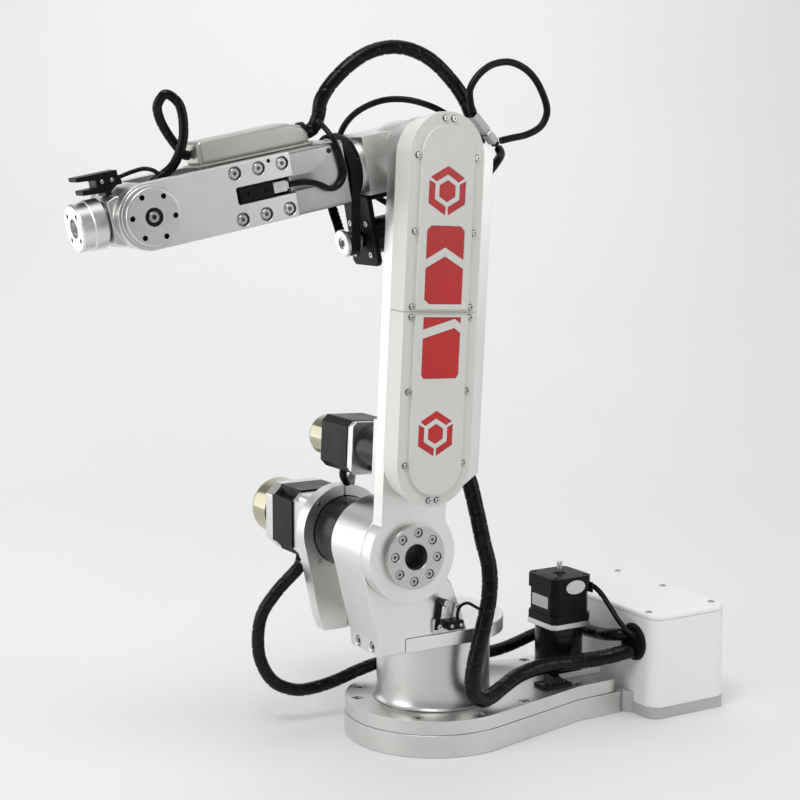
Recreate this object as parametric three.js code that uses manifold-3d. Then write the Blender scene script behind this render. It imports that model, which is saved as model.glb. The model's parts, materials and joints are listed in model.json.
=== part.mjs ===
// Six-axis desktop robot arm with stepper motors.
// Millimetres, +Z up, +X towards the reach side, +Y towards the covered side of the arm.
// Origin: on the vertical base axis, at the underside of the base plate.
import * as THREE from 'three';
import { mergeVertices } from 'three/addons/utils/BufferGeometryUtils.js';
import Module from 'manifold-3d';

const wasm = await Module();
wasm.setup();

// ---------------------------------------------------------------- driving dimensions
const GAP = 0.3;                       // air between touching pieces

// base
const BASE_R = 74;                     // round end of the base
const BASE_WAIST_X = -116;             // where the tapering sides turn parallel
const BASE_WAIST_Y = 48.6;
const BASE_END_X = -163;
const BASE_END_Y = 47.3;
const BASE_LOWER_T = 18.4;
const BASE_TOP_Z0 = 18.7;
const BASE_TOP_Z1 = 30.1;
const J1_MOTOR_X = -129;
const J1_PULLEY_R = 42;
const J1_PINION_R = 10.5;

// electronics enclosure behind the base
const ENC_X0 = -252, ENC_X1 = -170;
const ENC_Y = 80;
const ENC_FLOOR_T = 9.5;
const ENC_WALL_Z1 = 86;
const ENC_TOP_Z = 90.5;
const PORT_Y = 53, PORT_Z = 62.7, PORT_R = 15.5;

// turret
const COLUMN_R = 47;
const COLUMN_TOP = 87.7;
const PLAT_Z0 = 88, PLAT_Z1 = 99.5;
const PLAT_X1 = 61.6;
const PLAT_Y0 = -50, PLAT_Y1 = 58;
const J2X = 64.2, J2Z = 169.77;        // shoulder axis
const HOUSING_R = 38;
const HOUSING_Y0 = 12, HOUSING_Y1 = 58.2;
const MOUNT_Y0 = -48, MOUNT_Y1 = -35;
const J2_GEARBOX_R = 28.5;

// upper arm, in its own frame: x forward, y across, z along the arm from the shoulder axis
const ARM_LEAN = 2.74 * Math.PI / 180;
const ARM_L = 305;
const PLATE_Y0 = 59, PLATE_Y1 = 72;
const DISC_R = 38;
const COVER_Y1 = 96.6;
const COVER_PANEL_Y = 99;
const COVER_HALF = 32.4;
const COVER_SPLIT = 189.6;
const J3_MOTOR_U = 74.7;
const J3_PULLEY_R = 23, J3_PINION_R = 11.5;

// forearm, in its own frame: x along the forearm from the elbow axis, z up
const FORE_DROOP = 11.0 * Math.PI / 180;
const FORE_Y = 24;                     // forearm centre line
const WRIST_U = 222.63;                // elbow axis to wrist axis
const FORE_H = 23.7;                   // half height of the side plates
const SIDE_NEAR0 = 46, SIDE_NEAR1 = 55.3;
const SIDE_FAR0 = -7.3, SIDE_FAR1 = 2;
const J4_PULLEY_R = 24.6, J4_PINION_R = 8.2, J4_DROP = 56;
const TOOL_U0 = 247.2, TOOL_U1 = 268;

// ---------------------------------------------------------------- solids
function toSolid(geometry, matrix) {
  let g = geometry.clone();
  if (matrix) g.applyMatrix4(matrix);
  g.deleteAttribute('normal');
  g.deleteAttribute('uv');
  g = mergeVertices(g, 1e-4);
  const p = g.attributes.position.array;
  const idx = [];
  const src = g.index.array;
  for (let i = 0; i < src.length; i += 3) {
    const a = src[i], b = src[i + 1], c = src[i + 2];
    if (a !== b && b !== c && a !== c) idx.push(a, b, c);
  }
  let vol = 0;
  for (let i = 0; i < idx.length; i += 3) {
    const a = idx[i] * 3, b = idx[i + 1] * 3, c = idx[i + 2] * 3;
    vol += p[a] * (p[b + 1] * p[c + 2] - p[b + 2] * p[c + 1])
         - p[a + 1] * (p[b] * p[c + 2] - p[b + 2] * p[c])
         + p[a + 2] * (p[b] * p[c + 1] - p[b + 1] * p[c]);
  }
  if (vol < 0) for (let i = 0; i < idx.length; i += 3) [idx[i], idx[i + 1]] = [idx[i + 1], idx[i]];
  return new wasm.Manifold(new wasm.Mesh({
    numProp: 3,
    vertProperties: new Float32Array(p),
    triVerts: new Uint32Array(idx),
  }));
}
const union = (...s) => s.reduce((a, b) => a.add(b));
const cut = (a, ...s) => s.reduce((x, y) => x.subtract(y), a);

function shapeOf(points) {
  const s = new THREE.Shape();
  points.forEach(([x, y], i) => (i ? s.lineTo(x, y) : s.moveTo(x, y)));
  s.closePath();
  return s;
}
function extrude(points, depth, matrix) {
  return toSolid(new THREE.ExtrudeGeometry(shapeOf(points), { depth, bevelEnabled: false, steps: 1 }), matrix);
}
const basis = (x, y, z, o) => {
  const m = new THREE.Matrix4().makeBasis(new THREE.Vector3(...x), new THREE.Vector3(...y), new THREE.Vector3(...z));
  m.setPosition(...o);
  return m;
};
// outlines in XY, XZ and YZ, extruded along the third axis
const prismZ = (pts, z0, z1) => extrude(pts, z1 - z0, basis([1, 0, 0], [0, 1, 0], [0, 0, 1], [0, 0, z0]));
const prismY = (pts, y0, y1) => extrude(pts, y1 - y0, basis([1, 0, 0], [0, 0, 1], [0, -1, 0], [0, y1, 0]));
const prismX = (pts, x0, x1) => extrude(pts, x1 - x0, basis([0, 1, 0], [0, 0, 1], [1, 0, 0], [x0, 0, 0]));
const rect = (a0, a1, b0, b1) => [[a0, b0], [a1, b0], [a1, b1], [a0, b1]];
const box = (x0, x1, y0, y1, z0, z1) => prismZ(rect(x0, x1, y0, y1), z0, z1);
function arc(cx, cy, r, a0, a1, n) {
  const out = [];
  for (let i = 0; i <= n; i++) {
    const a = (a0 + (a1 - a0) * i / n) * Math.PI / 180;
    out.push([cx + r * Math.cos(a), cy + r * Math.sin(a)]);
  }
  return out;
}
function roundRect(a0, a1, b0, b1, r, n = 6) {
  return [
    ...arc(a1 - r, b1 - r, r, 0, 90, n), ...arc(a0 + r, b1 - r, r, 90, 180, n),
    ...arc(a0 + r, b0 + r, r, 180, 270, n), ...arc(a1 - r, b0 + r, r, 270, 360, n),
  ];
}
function chamferRect(a0, a1, b0, b1, c) {
  return [[a0 + c, b0], [a1 - c, b0], [a1, b0 + c], [a1, b1 - c], [a1 - c, b1], [a0 + c, b1], [a0, b1 - c], [a0, b0 + c]];
}
// turned pieces: profile is [radius, height]
function turned(profile, seg, matrix) {
  const pts = profile.map(([r, h]) => new THREE.Vector2(r, h));
  const open = profile[0][0] > 0 || profile[profile.length - 1][0] > 0;
  if (open) pts.push(pts[0].clone());
  return toSolid(new THREE.LatheGeometry(pts, seg), matrix);
}
const turnZ = (profile, cx, cy, seg = 48) => turned(profile, seg, basis([1, 0, 0], [0, 0, 1], [0, -1, 0], [cx, cy, 0]));
const turnY = (profile, cx, cz, seg = 48) => turned(profile, seg, basis([1, 0, 0], [0, 1, 0], [0, 0, 1], [cx, 0, cz]));
const turnX = (profile, cy, cz, seg = 48) => turned(profile, seg, basis([0, 1, 0], [1, 0, 0], [0, 0, -1], [0, cy, cz]));
const disc = (r, h0, h1) => [[0, h0], [r, h0], [r, h1], [0, h1]];
const bevelDisc = (r, h0, h1, c) => [[0, h0], [r - c, h0], [r, h0 + c], [r, h1 - c], [r - c, h1], [0, h1]];
const ring = (r0, r1, h0, h1) => [[r0, h0], [r1, h0], [r1, h1], [r0, h1]];
const cylZ = (r, z0, z1, cx = 0, cy = 0, seg = 32) => turnZ(disc(r, z0, z1), cx, cy, seg);
const cylY = (r, y0, y1, cx = 0, cz = 0, seg = 32) => turnY(disc(r, y0, y1), cx, cz, seg);
const cylX = (r, x0, x1, cy = 0, cz = 0, seg = 32) => turnX(disc(r, x0, x1), cy, cz, seg);
// outline of a belt round two pulleys, as two closed loops
function beltLoop(ax, ay, ar, bx, by, br, n) {
  const dx = bx - ax, dy = by - ay, d = Math.hypot(dx, dy), base = Math.atan2(dy, dx) * 180 / Math.PI;
  const t = Math.acos((ar - br) / d) * 180 / Math.PI;
  return [...arc(ax, ay, ar, base + t, base + 360 - t, n), ...arc(bx, by, br, base - t, base + t, Math.max(8, n >> 1))];
}
// cable of round section along a smooth route
function cable(points, d, steps, sides) {
  const curve = new THREE.CatmullRomCurve3(points.map((p) => new THREE.Vector3(...p)), false, 'centripetal');
  const section = shapeOf(arc(0, 0, d / 2, 0, 360 - 360 / sides, sides - 1));
  return toSolid(new THREE.ExtrudeGeometry(section, { steps, bevelEnabled: false, extrudePath: curve }));
}

// ---------------------------------------------------------------- materials
const M = (color, roughness, metalness) => ({ color, roughness, metalness });
const ALU = M(0xc9cac9, 0.38, 0.85);
const ALU_DARK = M(0xa5a7a8, 0.42, 0.85);
const STEEL = M(0xb8b8b6, 0.3, 0.95);
const WHITE = M(0xecebe6, 0.45, 0.0);
const IVORY = M(0xe9e7de, 0.42, 0.0);
const GREY = M(0xc4c5c1, 0.5, 0.0);
const BLACK = M(0x141516, 0.45, 0.1);
const BLACKMETAL = M(0x1c1d1f, 0.35, 0.6);
const BRASS = M(0xc9bb92, 0.3, 0.95);
const RUBBER = M(0x0e0e0f, 0.6, 0.0);
const CABLE = M(0x101112, 0.35, 0.0);

const robot = new THREE.Group();
function frameGroup(x, y, z, tilt) {
  const g = new THREE.Group();
  g.position.set(x, y, z);
  g.rotation.y = tilt;
  robot.add(g);
  return g;
}
const world = robot;
const arm = frameGroup(J2X, 0, J2Z, -ARM_LEAN);
const J3X = J2X - Math.sin(ARM_LEAN) * ARM_L, J3Z = J2Z + Math.cos(ARM_LEAN) * ARM_L;
const fore = frameGroup(J3X, 0, J3Z, FORE_DROOP);

function add(group, name, solid, m) {
  const mesh = solid.getMesh();
  const g = new THREE.BufferGeometry();
  g.setAttribute('position', new THREE.BufferAttribute(new Float32Array(mesh.vertProperties), 3));
  g.setIndex(new THREE.BufferAttribute(new Uint32Array(mesh.triVerts), 1));
  g.computeVertexNormals();
  const out = new THREE.Mesh(g, new THREE.MeshStandardMaterial({ color: m.color, roughness: m.roughness, metalness: m.metalness }));
  out.name = name;
  group.add(out);
  return out;
}

// ---------------------------------------------------------------- base
const TAN = 103.3;                      // where the straight sides leave the round end
function baseOutline(r, endX, endY, corner) {
  const k = r - BASE_R;
  const half = arc(0, 0, r, 0, TAN, 22);
  const end = corner
    ? arc(endX + corner, endY - corner, corner, 90, 180, 6)
    : [[endX, endY]];
  const up = [...half, [BASE_WAIST_X, BASE_WAIST_Y + k], ...end];
  const down = up.slice(1).map(([x, y]) => [x, -y]).reverse();
  return [...up, ...down];
}
const pocket = prismZ(beltLoop(0, 0, 47.5, J1_MOTOR_X, 0, 15.5, 40), 5.5, BASE_LOWER_T + 1);
add(world, 'base_lower_plate', cut(prismZ(baseOutline(BASE_R, BASE_END_X, BASE_END_Y, 3), 0, BASE_LOWER_T), pocket), ALU);
const baseScrews = [[60, -22], [43.4, 47.2], [-2.6, 66.5], [-53.6, 55.5], [-120.7, 39.3], [-53.6, -55.5], [43.4, -47.2], [-120.7, -39.3], [-2.6, -66.5]];
let top = prismZ(baseOutline(BASE_R - 0.6, BASE_END_X, BASE_END_Y - 0.6, 14), BASE_TOP_Z0, BASE_TOP_Z1);
top = cut(top, cylZ(20.5, BASE_TOP_Z0 - 1, BASE_TOP_Z1 + 1, 0, 0, 48), cylZ(12, BASE_TOP_Z0 - 1, BASE_TOP_Z1 + 1, J1_MOTOR_X, 0, 28));
for (const [x, y] of baseScrews) top = cut(top, cylZ(4.6, BASE_TOP_Z1 - 4.6, BASE_TOP_Z1 + 1, x, y, 12));
add(world, 'base_top_plate', top, ALU);
add(world, 'j1_belt', cut(
  prismZ(beltLoop(0, 0, J1_PULLEY_R + 2.3, J1_MOTOR_X, 0, J1_PINION_R + 2.3, 40), 8.5, 16),
  prismZ(beltLoop(0, 0, J1_PULLEY_R + 0.6, J1_MOTOR_X, 0, J1_PINION_R + 0.6, 40), 8, 17)), RUBBER);
add(world, 'j1_motor_pulley', union(
  cylZ(J1_PINION_R, 7, 17.2, J1_MOTOR_X, 0, 30), cylZ(4, 17, 29.9, J1_MOTOR_X, 0, 20)), ALU_DARK);
add(world, 'j1_gearbox', turnZ([[0, 30.4], [20.6, 30.4], [20.6, 70.9], [19.6, 72], [0, 72]], J1_MOTOR_X, 0, 40), BLACKMETAL);
add(world, 'j1_motor', union(
  prismZ(chamferRect(J1_MOTOR_X - 21.15, J1_MOTOR_X + 21.15, -21.15, 21.15, 4), 72.3, 77),
  prismZ(chamferRect(J1_MOTOR_X - 20.6, J1_MOTOR_X + 20.6, -20.6, 20.6, 5), 76.9, 117),
  cylZ(2.5, 116.9, 127, J1_MOTOR_X, 0, 16),
  box(J1_MOTOR_X - 21.5, J1_MOTOR_X - 20, 4, 20, 101, 110)), BLACK);
add(world, 'cable_clip', union(
  box(-112, -84, 25.5, 44, 30.4, 33), prismY([[-104, 32.9], [-92, 32.9], [-95, 39.5], [-101, 39.5]], 28, 42)), BLACK);

// enclosure
// concave-sided neck that carries the base outline into the floor tray
const NECK = [[BASE_END_X - GAP, -47.3], [BASE_END_X - GAP, 47.3], [-166.5, 48.2], [-168.4, 50.2], [ENC_X1 - 6, 54], [ENC_X1 - 6, -54], [-168.4, -50.2], [-166.5, -48.2]];
add(world, 'enclosure_floor', union(
  prismZ(roundRect(ENC_X0, ENC_X1, -ENC_Y, ENC_Y, 10), 0, ENC_FLOOR_T),
  prismZ(NECK.map(([x, y]) => [Math.max(x, ENC_X1 - 6), y]), 0, ENC_FLOOR_T),
  prismZ(NECK.map(([x, y]) => [Math.max(x, ENC_X1 + GAP), y]), 0, BASE_LOWER_T)), GREY);
let shell = cut(
  prismZ(roundRect(ENC_X0, ENC_X1, -ENC_Y, ENC_Y, 12, 7), ENC_FLOOR_T + GAP, ENC_WALL_Z1),
  prismZ(roundRect(ENC_X0 + 2.6, ENC_X1 - 2.6, -ENC_Y + 2.6, ENC_Y - 2.6, 9.4, 7), 5, 90),
  cylX(PORT_R + GAP, ENC_X1 - 5, ENC_X1 + 2, PORT_Y, PORT_Z, 36));
for (const [sx, sy] of [[1, 1], [1, -1], [-1, 1], [-1, -1]]) {
  const bx = sx > 0 ? -175.6 : -246.4, by = sy * 74.4;
  shell = union(shell, prismZ(chamferRect(bx - 4, bx + 4, by - 4, by + 4, 2), ENC_FLOOR_T + GAP, ENC_WALL_Z1));
}
add(world, 'enclosure_cover', shell, WHITE);
add(world, 'enclosure_lid', prismZ(roundRect(ENC_X0, ENC_X1, -ENC_Y, ENC_Y, 12, 7), ENC_WALL_Z1 + GAP, ENC_TOP_Z), WHITE);
add(world, 'cable_gland', turnX([[0, -174], [PORT_R, -174], [PORT_R, -169.6], [PORT_R + 1.6, -169.6], [PORT_R + 1.6, -168.6], [PORT_R - 1, -167], [0, -167]], PORT_Y, PORT_Z, 36), RUBBER);

// ---------------------------------------------------------------- turret
add(world, 'turret_column', turnZ([[0, 19], [20.1, 19], [20.1, 30.5], [50.5, 30.5], [50.5, 32], [48.4, 33.6], [47.2, 37], [COLUMN_R, 41], [COLUMN_R, COLUMN_TOP], [0, COLUMN_TOP]], 0, 0, 56), ALU);
add(world, 'j1_drive_pulley', turnZ([[0, 7], [J1_PULLEY_R + 0.3, 7], [J1_PULLEY_R + 0.3, 18.3], [16, 18.3], [16, 18.7], [0, 18.7]], 0, 0, 48), ALU_DARK);
const platOutline = [[PLAT_X1, PLAT_Y0], [PLAT_X1, PLAT_Y1], ...arc(0, 0, PLAT_Y1, 90, 239.5, 20)];
add(world, 'turret_platform', prismZ(platOutline, PLAT_Z0, PLAT_Z1), ALU);
// shoulder housing: round boss that flares down to the platform and hooks over its front edge
const tangentFront = [[100.9, 158.5], [91.9, 123.3], [86, 101.5], [85, 88.3]];
const tangentRear = [[30, 152.4], [20.6, 140.6], [11.9, 119.5], [5, PLAT_Z1 + GAP]];
const housingOutline = [...arc(J2X, J2Z, HOUSING_R, -17.3, 207.2, 40), ...tangentRear.slice(1), [PLAT_X1 + GAP, PLAT_Z1 + GAP], [PLAT_X1 + GAP, 88.3], [85, 88.3], ...[tangentFront[2], tangentFront[1]]];
let housing = prismY(housingOutline, HOUSING_Y0, HOUSING_Y1);
housing = union(housing, turnY(disc(35, 5, HOUSING_Y0 + 0.1), J2X, J2Z, 48));
housing = cut(housing, cylY(14.3, 0, 70, J2X, J2Z, 36));
for (const y of [24, 46]) housing = cut(housing, cylX(4.4, 78, 95, y, 94, 16));
add(world, 'j2_housing', housing, ALU);
let mount = prismY([...arc(J2X, J2Z, HOUSING_R, -17.3, 200, 36), [30, 150], [30, 104], [38, PLAT_Z1 + GAP], [PLAT_X1 + GAP, PLAT_Z1 + GAP], [PLAT_X1 + GAP, 87.3], [83.5, 87.3], [88.2, 100]], MOUNT_Y0, MOUNT_Y1);
mount = cut(mount, cylY(J2_GEARBOX_R + 0.6, -60, -20, J2X, J2Z, 44), box(J2X - 1, J2X + 1, -60, -20, J2Z + 20, J2Z + 50));
for (const a of [45, 135, 225, 315]) {
  const sx = Math.cos(a * Math.PI / 180) * 33.4, sz = Math.sin(a * Math.PI / 180) * 33.4;
  mount = cut(mount, cylY(2.1, -60, -20, J2X + sx, J2Z + sz, 12));
}
add(world, 'j2_motor_mount', mount, ALU);
add(world, 'j2_gearbox', turnY([[0, -48.2], [J2_GEARBOX_R, -48.2], [J2_GEARBOX_R, 3.6], [J2_GEARBOX_R - 1, 4.6], [0, 4.6]], J2X, J2Z, 44), BLACKMETAL);
add(world, 'j2_motor', union(
  prismY(roundRect(J2X - 28.2, J2X + 28.2, J2Z - 28.2, J2Z + 28.2, 5, 4), -75.5, -48.5),
  prismY(chamferRect(J2X - 28.2, J2X + 28.2, J2Z - 28.2, J2Z + 28.2, 6), -111, -75.4),
  prismY(roundRect(J2X - 28.2, J2X + 28.2, J2Z - 28.2, J2Z + 28.2, 5, 4), -129, -110.9),
  turnY([[0, -159.5], [20, -159.5], [23.5, -158.5], [25, -156], [25, -128.9], [0, -128.9]], J2X, J2Z, 40)), BLACK);
add(world, 'j2_limit_switch', union(
  box(12, 38, 58.6, 61, 101, 113), box(14, 28, 60.9, 68, 104, 111), prismY([[12, 112], [20, 112], [17, 124], [12, 122]], 58.6, 61),
  cylY(3, 58.6, 69, 31, 127, 14), prismY([[29, 128], [33.5, 128], [37, 104], [33, 104]], 58.6, 61.5)), BLACK);

// ---------------------------------------------------------------- upper arm (x forward, z along the arm)
const plateOutline = [
  ...arc(0, 0, DISC_R, 138.5, 400, 36),
  [29, 30], ...arc(0, ARM_L, 29, 0, 100, 14),
  [-16, 332.5], [-30.6, 328.8], [-43.7, 319.2], [-51, 313.8], [-57, 309.5],
  [-57, 62], [-54.5, 60.4], [-30.5, 43], [-28.5, 40],
];
let plate = prismY(plateOutline, PLATE_Y0, PLATE_Y1);
plate = cut(plate, cylY(19.6, 50, 80, 0, 0, 40), cylY(14.6, 50, 80, 0, J3_MOTOR_U, 32), cylY(10.3, 50, 80, 0, ARM_L, 32));
add(arm, 'upper_arm_plate', plate, ALU);
let flange = turnY([[0, 5.6], [13.9, 5.6], [13.9, 58.7], [19.3, 58.7], [19.3, 72.3], [25.4, 72.3], [25.4, 77], [24.6, 77.8], [0, 77.8]], 0, 0, 48);
flange = cut(flange, cylY(10, 60, 90, 0, 0, 36));
for (let i = 0; i < 8; i++) {
  const a = (i * 45 + 2.7) * Math.PI / 180;
  flange = cut(flange, cylY(3.9, 74, 90, Math.cos(a) * 19.0, Math.sin(a) * 19.0, 10));
}
add(arm, 'j2_output_flange', flange, ALU);
add(arm, 'j3_motor_bracket', cut(prismY(rect(-25, 25, 52.5, 104), 47, 58.7), cylY(14.8, 40, 70, 0, J3_MOTOR_U, 30)), ALU);
add(arm, 'j3_gearbox', turnY([[0, 9], [19.2, 9], [19.2, 46.7], [14.3, 46.7], [14.3, 71], [0, 71]], 0, J3_MOTOR_U, 36), BLACKMETAL);
add(arm, 'j3_motor', union(
  prismY(chamferRect(-21.15, 21.15, J3_MOTOR_U - 21.15, J3_MOTOR_U + 21.15, 3), 0, 8.7),
  prismY(chamferRect(-21.15, 21.15, J3_MOTOR_U - 21.15, J3_MOTOR_U + 21.15, 5), -43, 0.1),
  turnY([[0, -73.5], [12, -73.5], [16, -72.5], [17.5, -69], [17.5, -42.9], [0, -42.9]], 0, J3_MOTOR_U, 36)), BLACK);
add(arm, 'j3_motor_pulley', union(cylY(J3_PINION_R, 74, 86, 0, J3_MOTOR_U, 28), cylY(4, 71.3, 74.1, 0, J3_MOTOR_U, 16)), ALU_DARK);
add(arm, 'j3_belt', cut(
  prismY(beltLoop(0, ARM_L, J3_PULLEY_R + 2.2, 0, J3_MOTOR_U, J3_PINION_R + 2.2, 28), 75.5, 84.5),
  prismY(beltLoop(0, ARM_L, J3_PULLEY_R + 0.5, 0, J3_MOTOR_U, J3_PINION_R + 0.5, 28), 74, 86)), RUBBER);
// two-piece belt cover with a rounded end each, a flat screw rim and a raised panel
function coverHalf(u0, u1, roundTop) {
  const outline = (h, e) => (roundTop
    ? [[-h, u0 + e], [h, u0 + e], ...arc(0, u1, h, 0, 180, 18)]
    : [...arc(0, u0, h, 180, 360, 18), [h, u1 - e], [-h, u1 - e]]);
  const outer = union(
    prismY(outline(30.1, 0), PLATE_Y1 + GAP, 82), prismY(outline(31.2, 0), 81.9, 90.5),
    prismY(outline(COVER_HALF, 0), 90.4, COVER_Y1), prismY(outline(23, 2), COVER_Y1 - 0.1, COVER_PANEL_Y));
  return cut(outer, prismY(outline(27.8, -5), PLATE_Y1, 93.4));
}
add(arm, 'arm_cover_lower', coverHalf(J3_MOTOR_U, COVER_SPLIT - 0.15, false), IVORY);
add(arm, 'arm_cover_upper', coverHalf(COVER_SPLIT + 0.15, ARM_L, true), IVORY);
add(arm, 'cable_connector', prismY([[-42, 338], [-37.5, 335], [-57.3, 313.8], [-64.5, 318.5]], 61, 71.5), GREY);

// ---------------------------------------------------------------- elbow (x along the forearm, z up)
add(fore, 'elbow_housing', union(
  turnY(bevelDisc(27, 25, 58.3, 1), 0, 0, 44),
  prismY([[-20, -22], [42, -22], [42, 22], [-14, 22], [-20, 16]], 0, 48),
  cylX(21.5, 41.9, 45.6, FORE_Y, 0, 36)), ALU);
add(fore, 'j3_drive_pulley', union(cylY(9.9, 58.7, 75, 0, 0, 28), cylY(J3_PULLEY_R, 74.5, 85.5, 0, 0, 40)), ALU_DARK);
add(fore, 'j4_motor_bracket', cut(union(
  prismX(chamferRect(5, 43, -77, -22.5, 3), 39.2, 43.4), box(16.5, 43.3, 8, 40, -26.6, -22.5)),
  cylX(6.5, 30, 50, FORE_Y, -J4_DROP, 20)), BLACK);
add(fore, 'j4_motor', union(
  cylX(14, 11.9, 38.9, FORE_Y, -J4_DROP, 32), prismX(chamferRect(FORE_Y - 14.1, FORE_Y + 14.1, -J4_DROP - 14.1, -J4_DROP + 14.1, 3), -38, 12)), ALU_DARK);
add(fore, 'j4_motor_pulley', union(
  cylX(J4_PINION_R, 47, 58.5, FORE_Y, -J4_DROP, 26), cylX(10.6, 58.4, 61.4, FORE_Y, -J4_DROP, 30), cylX(3, 39.3, 47.1, FORE_Y, -J4_DROP, 14)), STEEL);
add(fore, 'j4_belt', cut(
  prismX(beltLoop(FORE_Y, 0, J4_PULLEY_R + 2.6, FORE_Y, -J4_DROP, J4_PINION_R + 2.4, 30), 48.6, 58),
  prismX(beltLoop(FORE_Y, 0, J4_PULLEY_R + 0.5, FORE_Y, -J4_DROP, J4_PINION_R + 0.5, 30), 48, 59)), RUBBER);

// ---------------------------------------------------------------- forearm
add(fore, 'j4_drive_pulley', turnX([[0, 46], [J4_PULLEY_R, 46], [J4_PULLEY_R, 59.2], [20, 59.2], [20, 62], [0, 62]], FORE_Y, 0, 44), ALU_DARK);
let foreBody = union(
  prismX(roundRect(-5.2, 53.2, -FORE_H, FORE_H, 3, 3), 62.3, 107.6),
  prismX(rect(2.4, 45.6, -FORE_H + 0.2, FORE_H - 0.2), 107.5, 158));
foreBody = cut(foreBody, prismX(rect(2.6, 45.4, -21.4, 21.4), 66, 106), prismX(rect(12, 36, -10, 10), 100, 170),
  box(107.8, 150, 30, 60, -6.8, 6.8),
  prismZ([[88, 60], [88, 53.6], [99, 47.4], [110, 47.4], [110, 60]], -5.6, 5.6));
add(fore, 'forearm_body', foreBody, ALU);
function sidePlate(y0, y1) {
  return prismY([[107.9, -FORE_H], ...arc(WRIST_U, 0, FORE_H, -90, 90, 20), [107.9, FORE_H]], y0, y1);
}
const forearmScrews = [[114.8, 16.7], [134, 16.7], [153.2, 16.7], [114.8, -16.7], [134, -16.7], [153.2, -16.7]];
let near = cut(sidePlate(SIDE_NEAR0, SIDE_NEAR1), cylY(6, 30, 70, WRIST_U, 0, 24),
  prismY([[100, -6.2], ...arc(153, -4.7, 1.5, 270, 360, 3), ...arc(153, 4.7, 1.5, 0, 90, 3), [100, 6.2]], 30, 70));
for (const [u, v] of forearmScrews) near = cut(near, cylY(5.1, 50.5, 60, u, v, 18));
add(fore, 'forearm_plate_near', near, ALU);
let far = cut(union(sidePlate(SIDE_FAR0, SIDE_FAR1), turnY([[0, -13.9], [19.8, -13.9], [20.6, -13.1], [20.6, SIDE_FAR0 + 0.1], [0, SIDE_FAR0 + 0.1]], WRIST_U, 0, 40)),
  cylY(6, -20, 20, WRIST_U, 0, 24));
for (const [u, v] of forearmScrews) far = cut(far, cylY(5.1, -10, -2.5, u, v, 14));
add(fore, 'forearm_plate_far', far, ALU);
add(fore, 'j5_motor', union(prismX(chamferRect(FORE_Y - 21.1, FORE_Y + 21.1, -21.1, 21.1, 4), 66.4, 105.6)), BLACK);
add(fore, 'j5_cover', cut(union(
  prismY([[86, FORE_H + GAP], [168, FORE_H + GAP], [170, 26], [169.5, 42.3], [96.5, 42.6], [84, 39], [79, 31.5], [79, FORE_H + GAP]], 12, 36),
  prismY([[78, FORE_H + GAP], [172, FORE_H + GAP], [172, 25.6], [78, 25.6]], 9.5, 38.5),
  cylX(8, 76.6, 87, FORE_Y, 32.4, 24)),
  prismY([[88, 20], [166, 20], [166, 39.8], [97, 40], [88, 36]], 14.4, 33.6)), WHITE);
add(fore, 'j4_limit_switch', union(
  prismY(rect(118, 151, -5.4, 5.4), 46.4, 52.5), prismY(rect(111, 118.1, -4.2, 4.2), 47.4, 53.4)), BLACK);
const cap = (a, b, c) => turnY([[6.2, a], [22.2, a], [22.2, b], [20.6, b + 0.8], [20.6, c - 0.8], [19.8, c], [8.4, c], [8.4, c - 3], [6.2, c - 3]], WRIST_U, 0, 44);
let nearCap = cap(SIDE_NEAR1 + GAP, 57, 61.9);
for (let i = 0; i < 6; i++) {
  const a = (i * 60 - 4 + 11) * Math.PI / 180;
  nearCap = cut(nearCap, cylY(1.9, 58.5, 70, WRIST_U + Math.cos(a) * 16.1, Math.sin(a) * 16.1, 12));
}
add(fore, 'j5_cap_near', nearCap, ALU);

// ---------------------------------------------------------------- wrist and tool flange
let wrist = union(
  turnY(bevelDisc(23.2, 2.6, 45.4, 1.2), WRIST_U, 0, 44),
  prismY([[WRIST_U, -17.5], [240, -17.5], [246.6, -15], [246.6, 15], [240, 17.5], [WRIST_U, 17.5]], 6, 42),
  cylY(5.7, -13.5, 61.2, WRIST_U, 0, 24));
wrist = cut(wrist, cylX(14.4, 225, 260, FORE_Y, 0, 32));
add(fore, 'wrist_housing', wrist, ALU);
add(fore, 'j6_motor', cylX(14, 225.4, 246.9, FORE_Y, 0, 30), ALU_DARK);
add(fore, 'j6_limit_switch', union(
  prismY([[229, 24.2], [233, 24.2], [238, 20.6], [238, 18], [242.6, 18], [242.6, 20.6], [259, 21.6], [259, 25], [248, 25], [248, 30.4], [262, 31.6], [262, 34.6], [231, 34.6], [231, 31], [229, 27]], 16.5, 31.5)), BLACK);
let tool = turnX([[0, TOOL_U0], [15, TOOL_U0], [18.2, 249], [18.2, 258], [17.2, 258.8], [17.2, 266.8], [16, TOOL_U1], [0, TOOL_U1]], FORE_Y, 0, 40);
tool = cut(tool, cylX(7, 264, 280, FORE_Y, 0, 24));
for (let i = 0; i < 4; i++) {
  const a = (45 + i * 90) * Math.PI / 180;
  tool = cut(tool, cylX(1.8, 262, 280, FORE_Y + Math.cos(a) * 12, Math.sin(a) * 12, 12));
}
add(fore, 'tool_flange', tool, STEEL);

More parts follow.
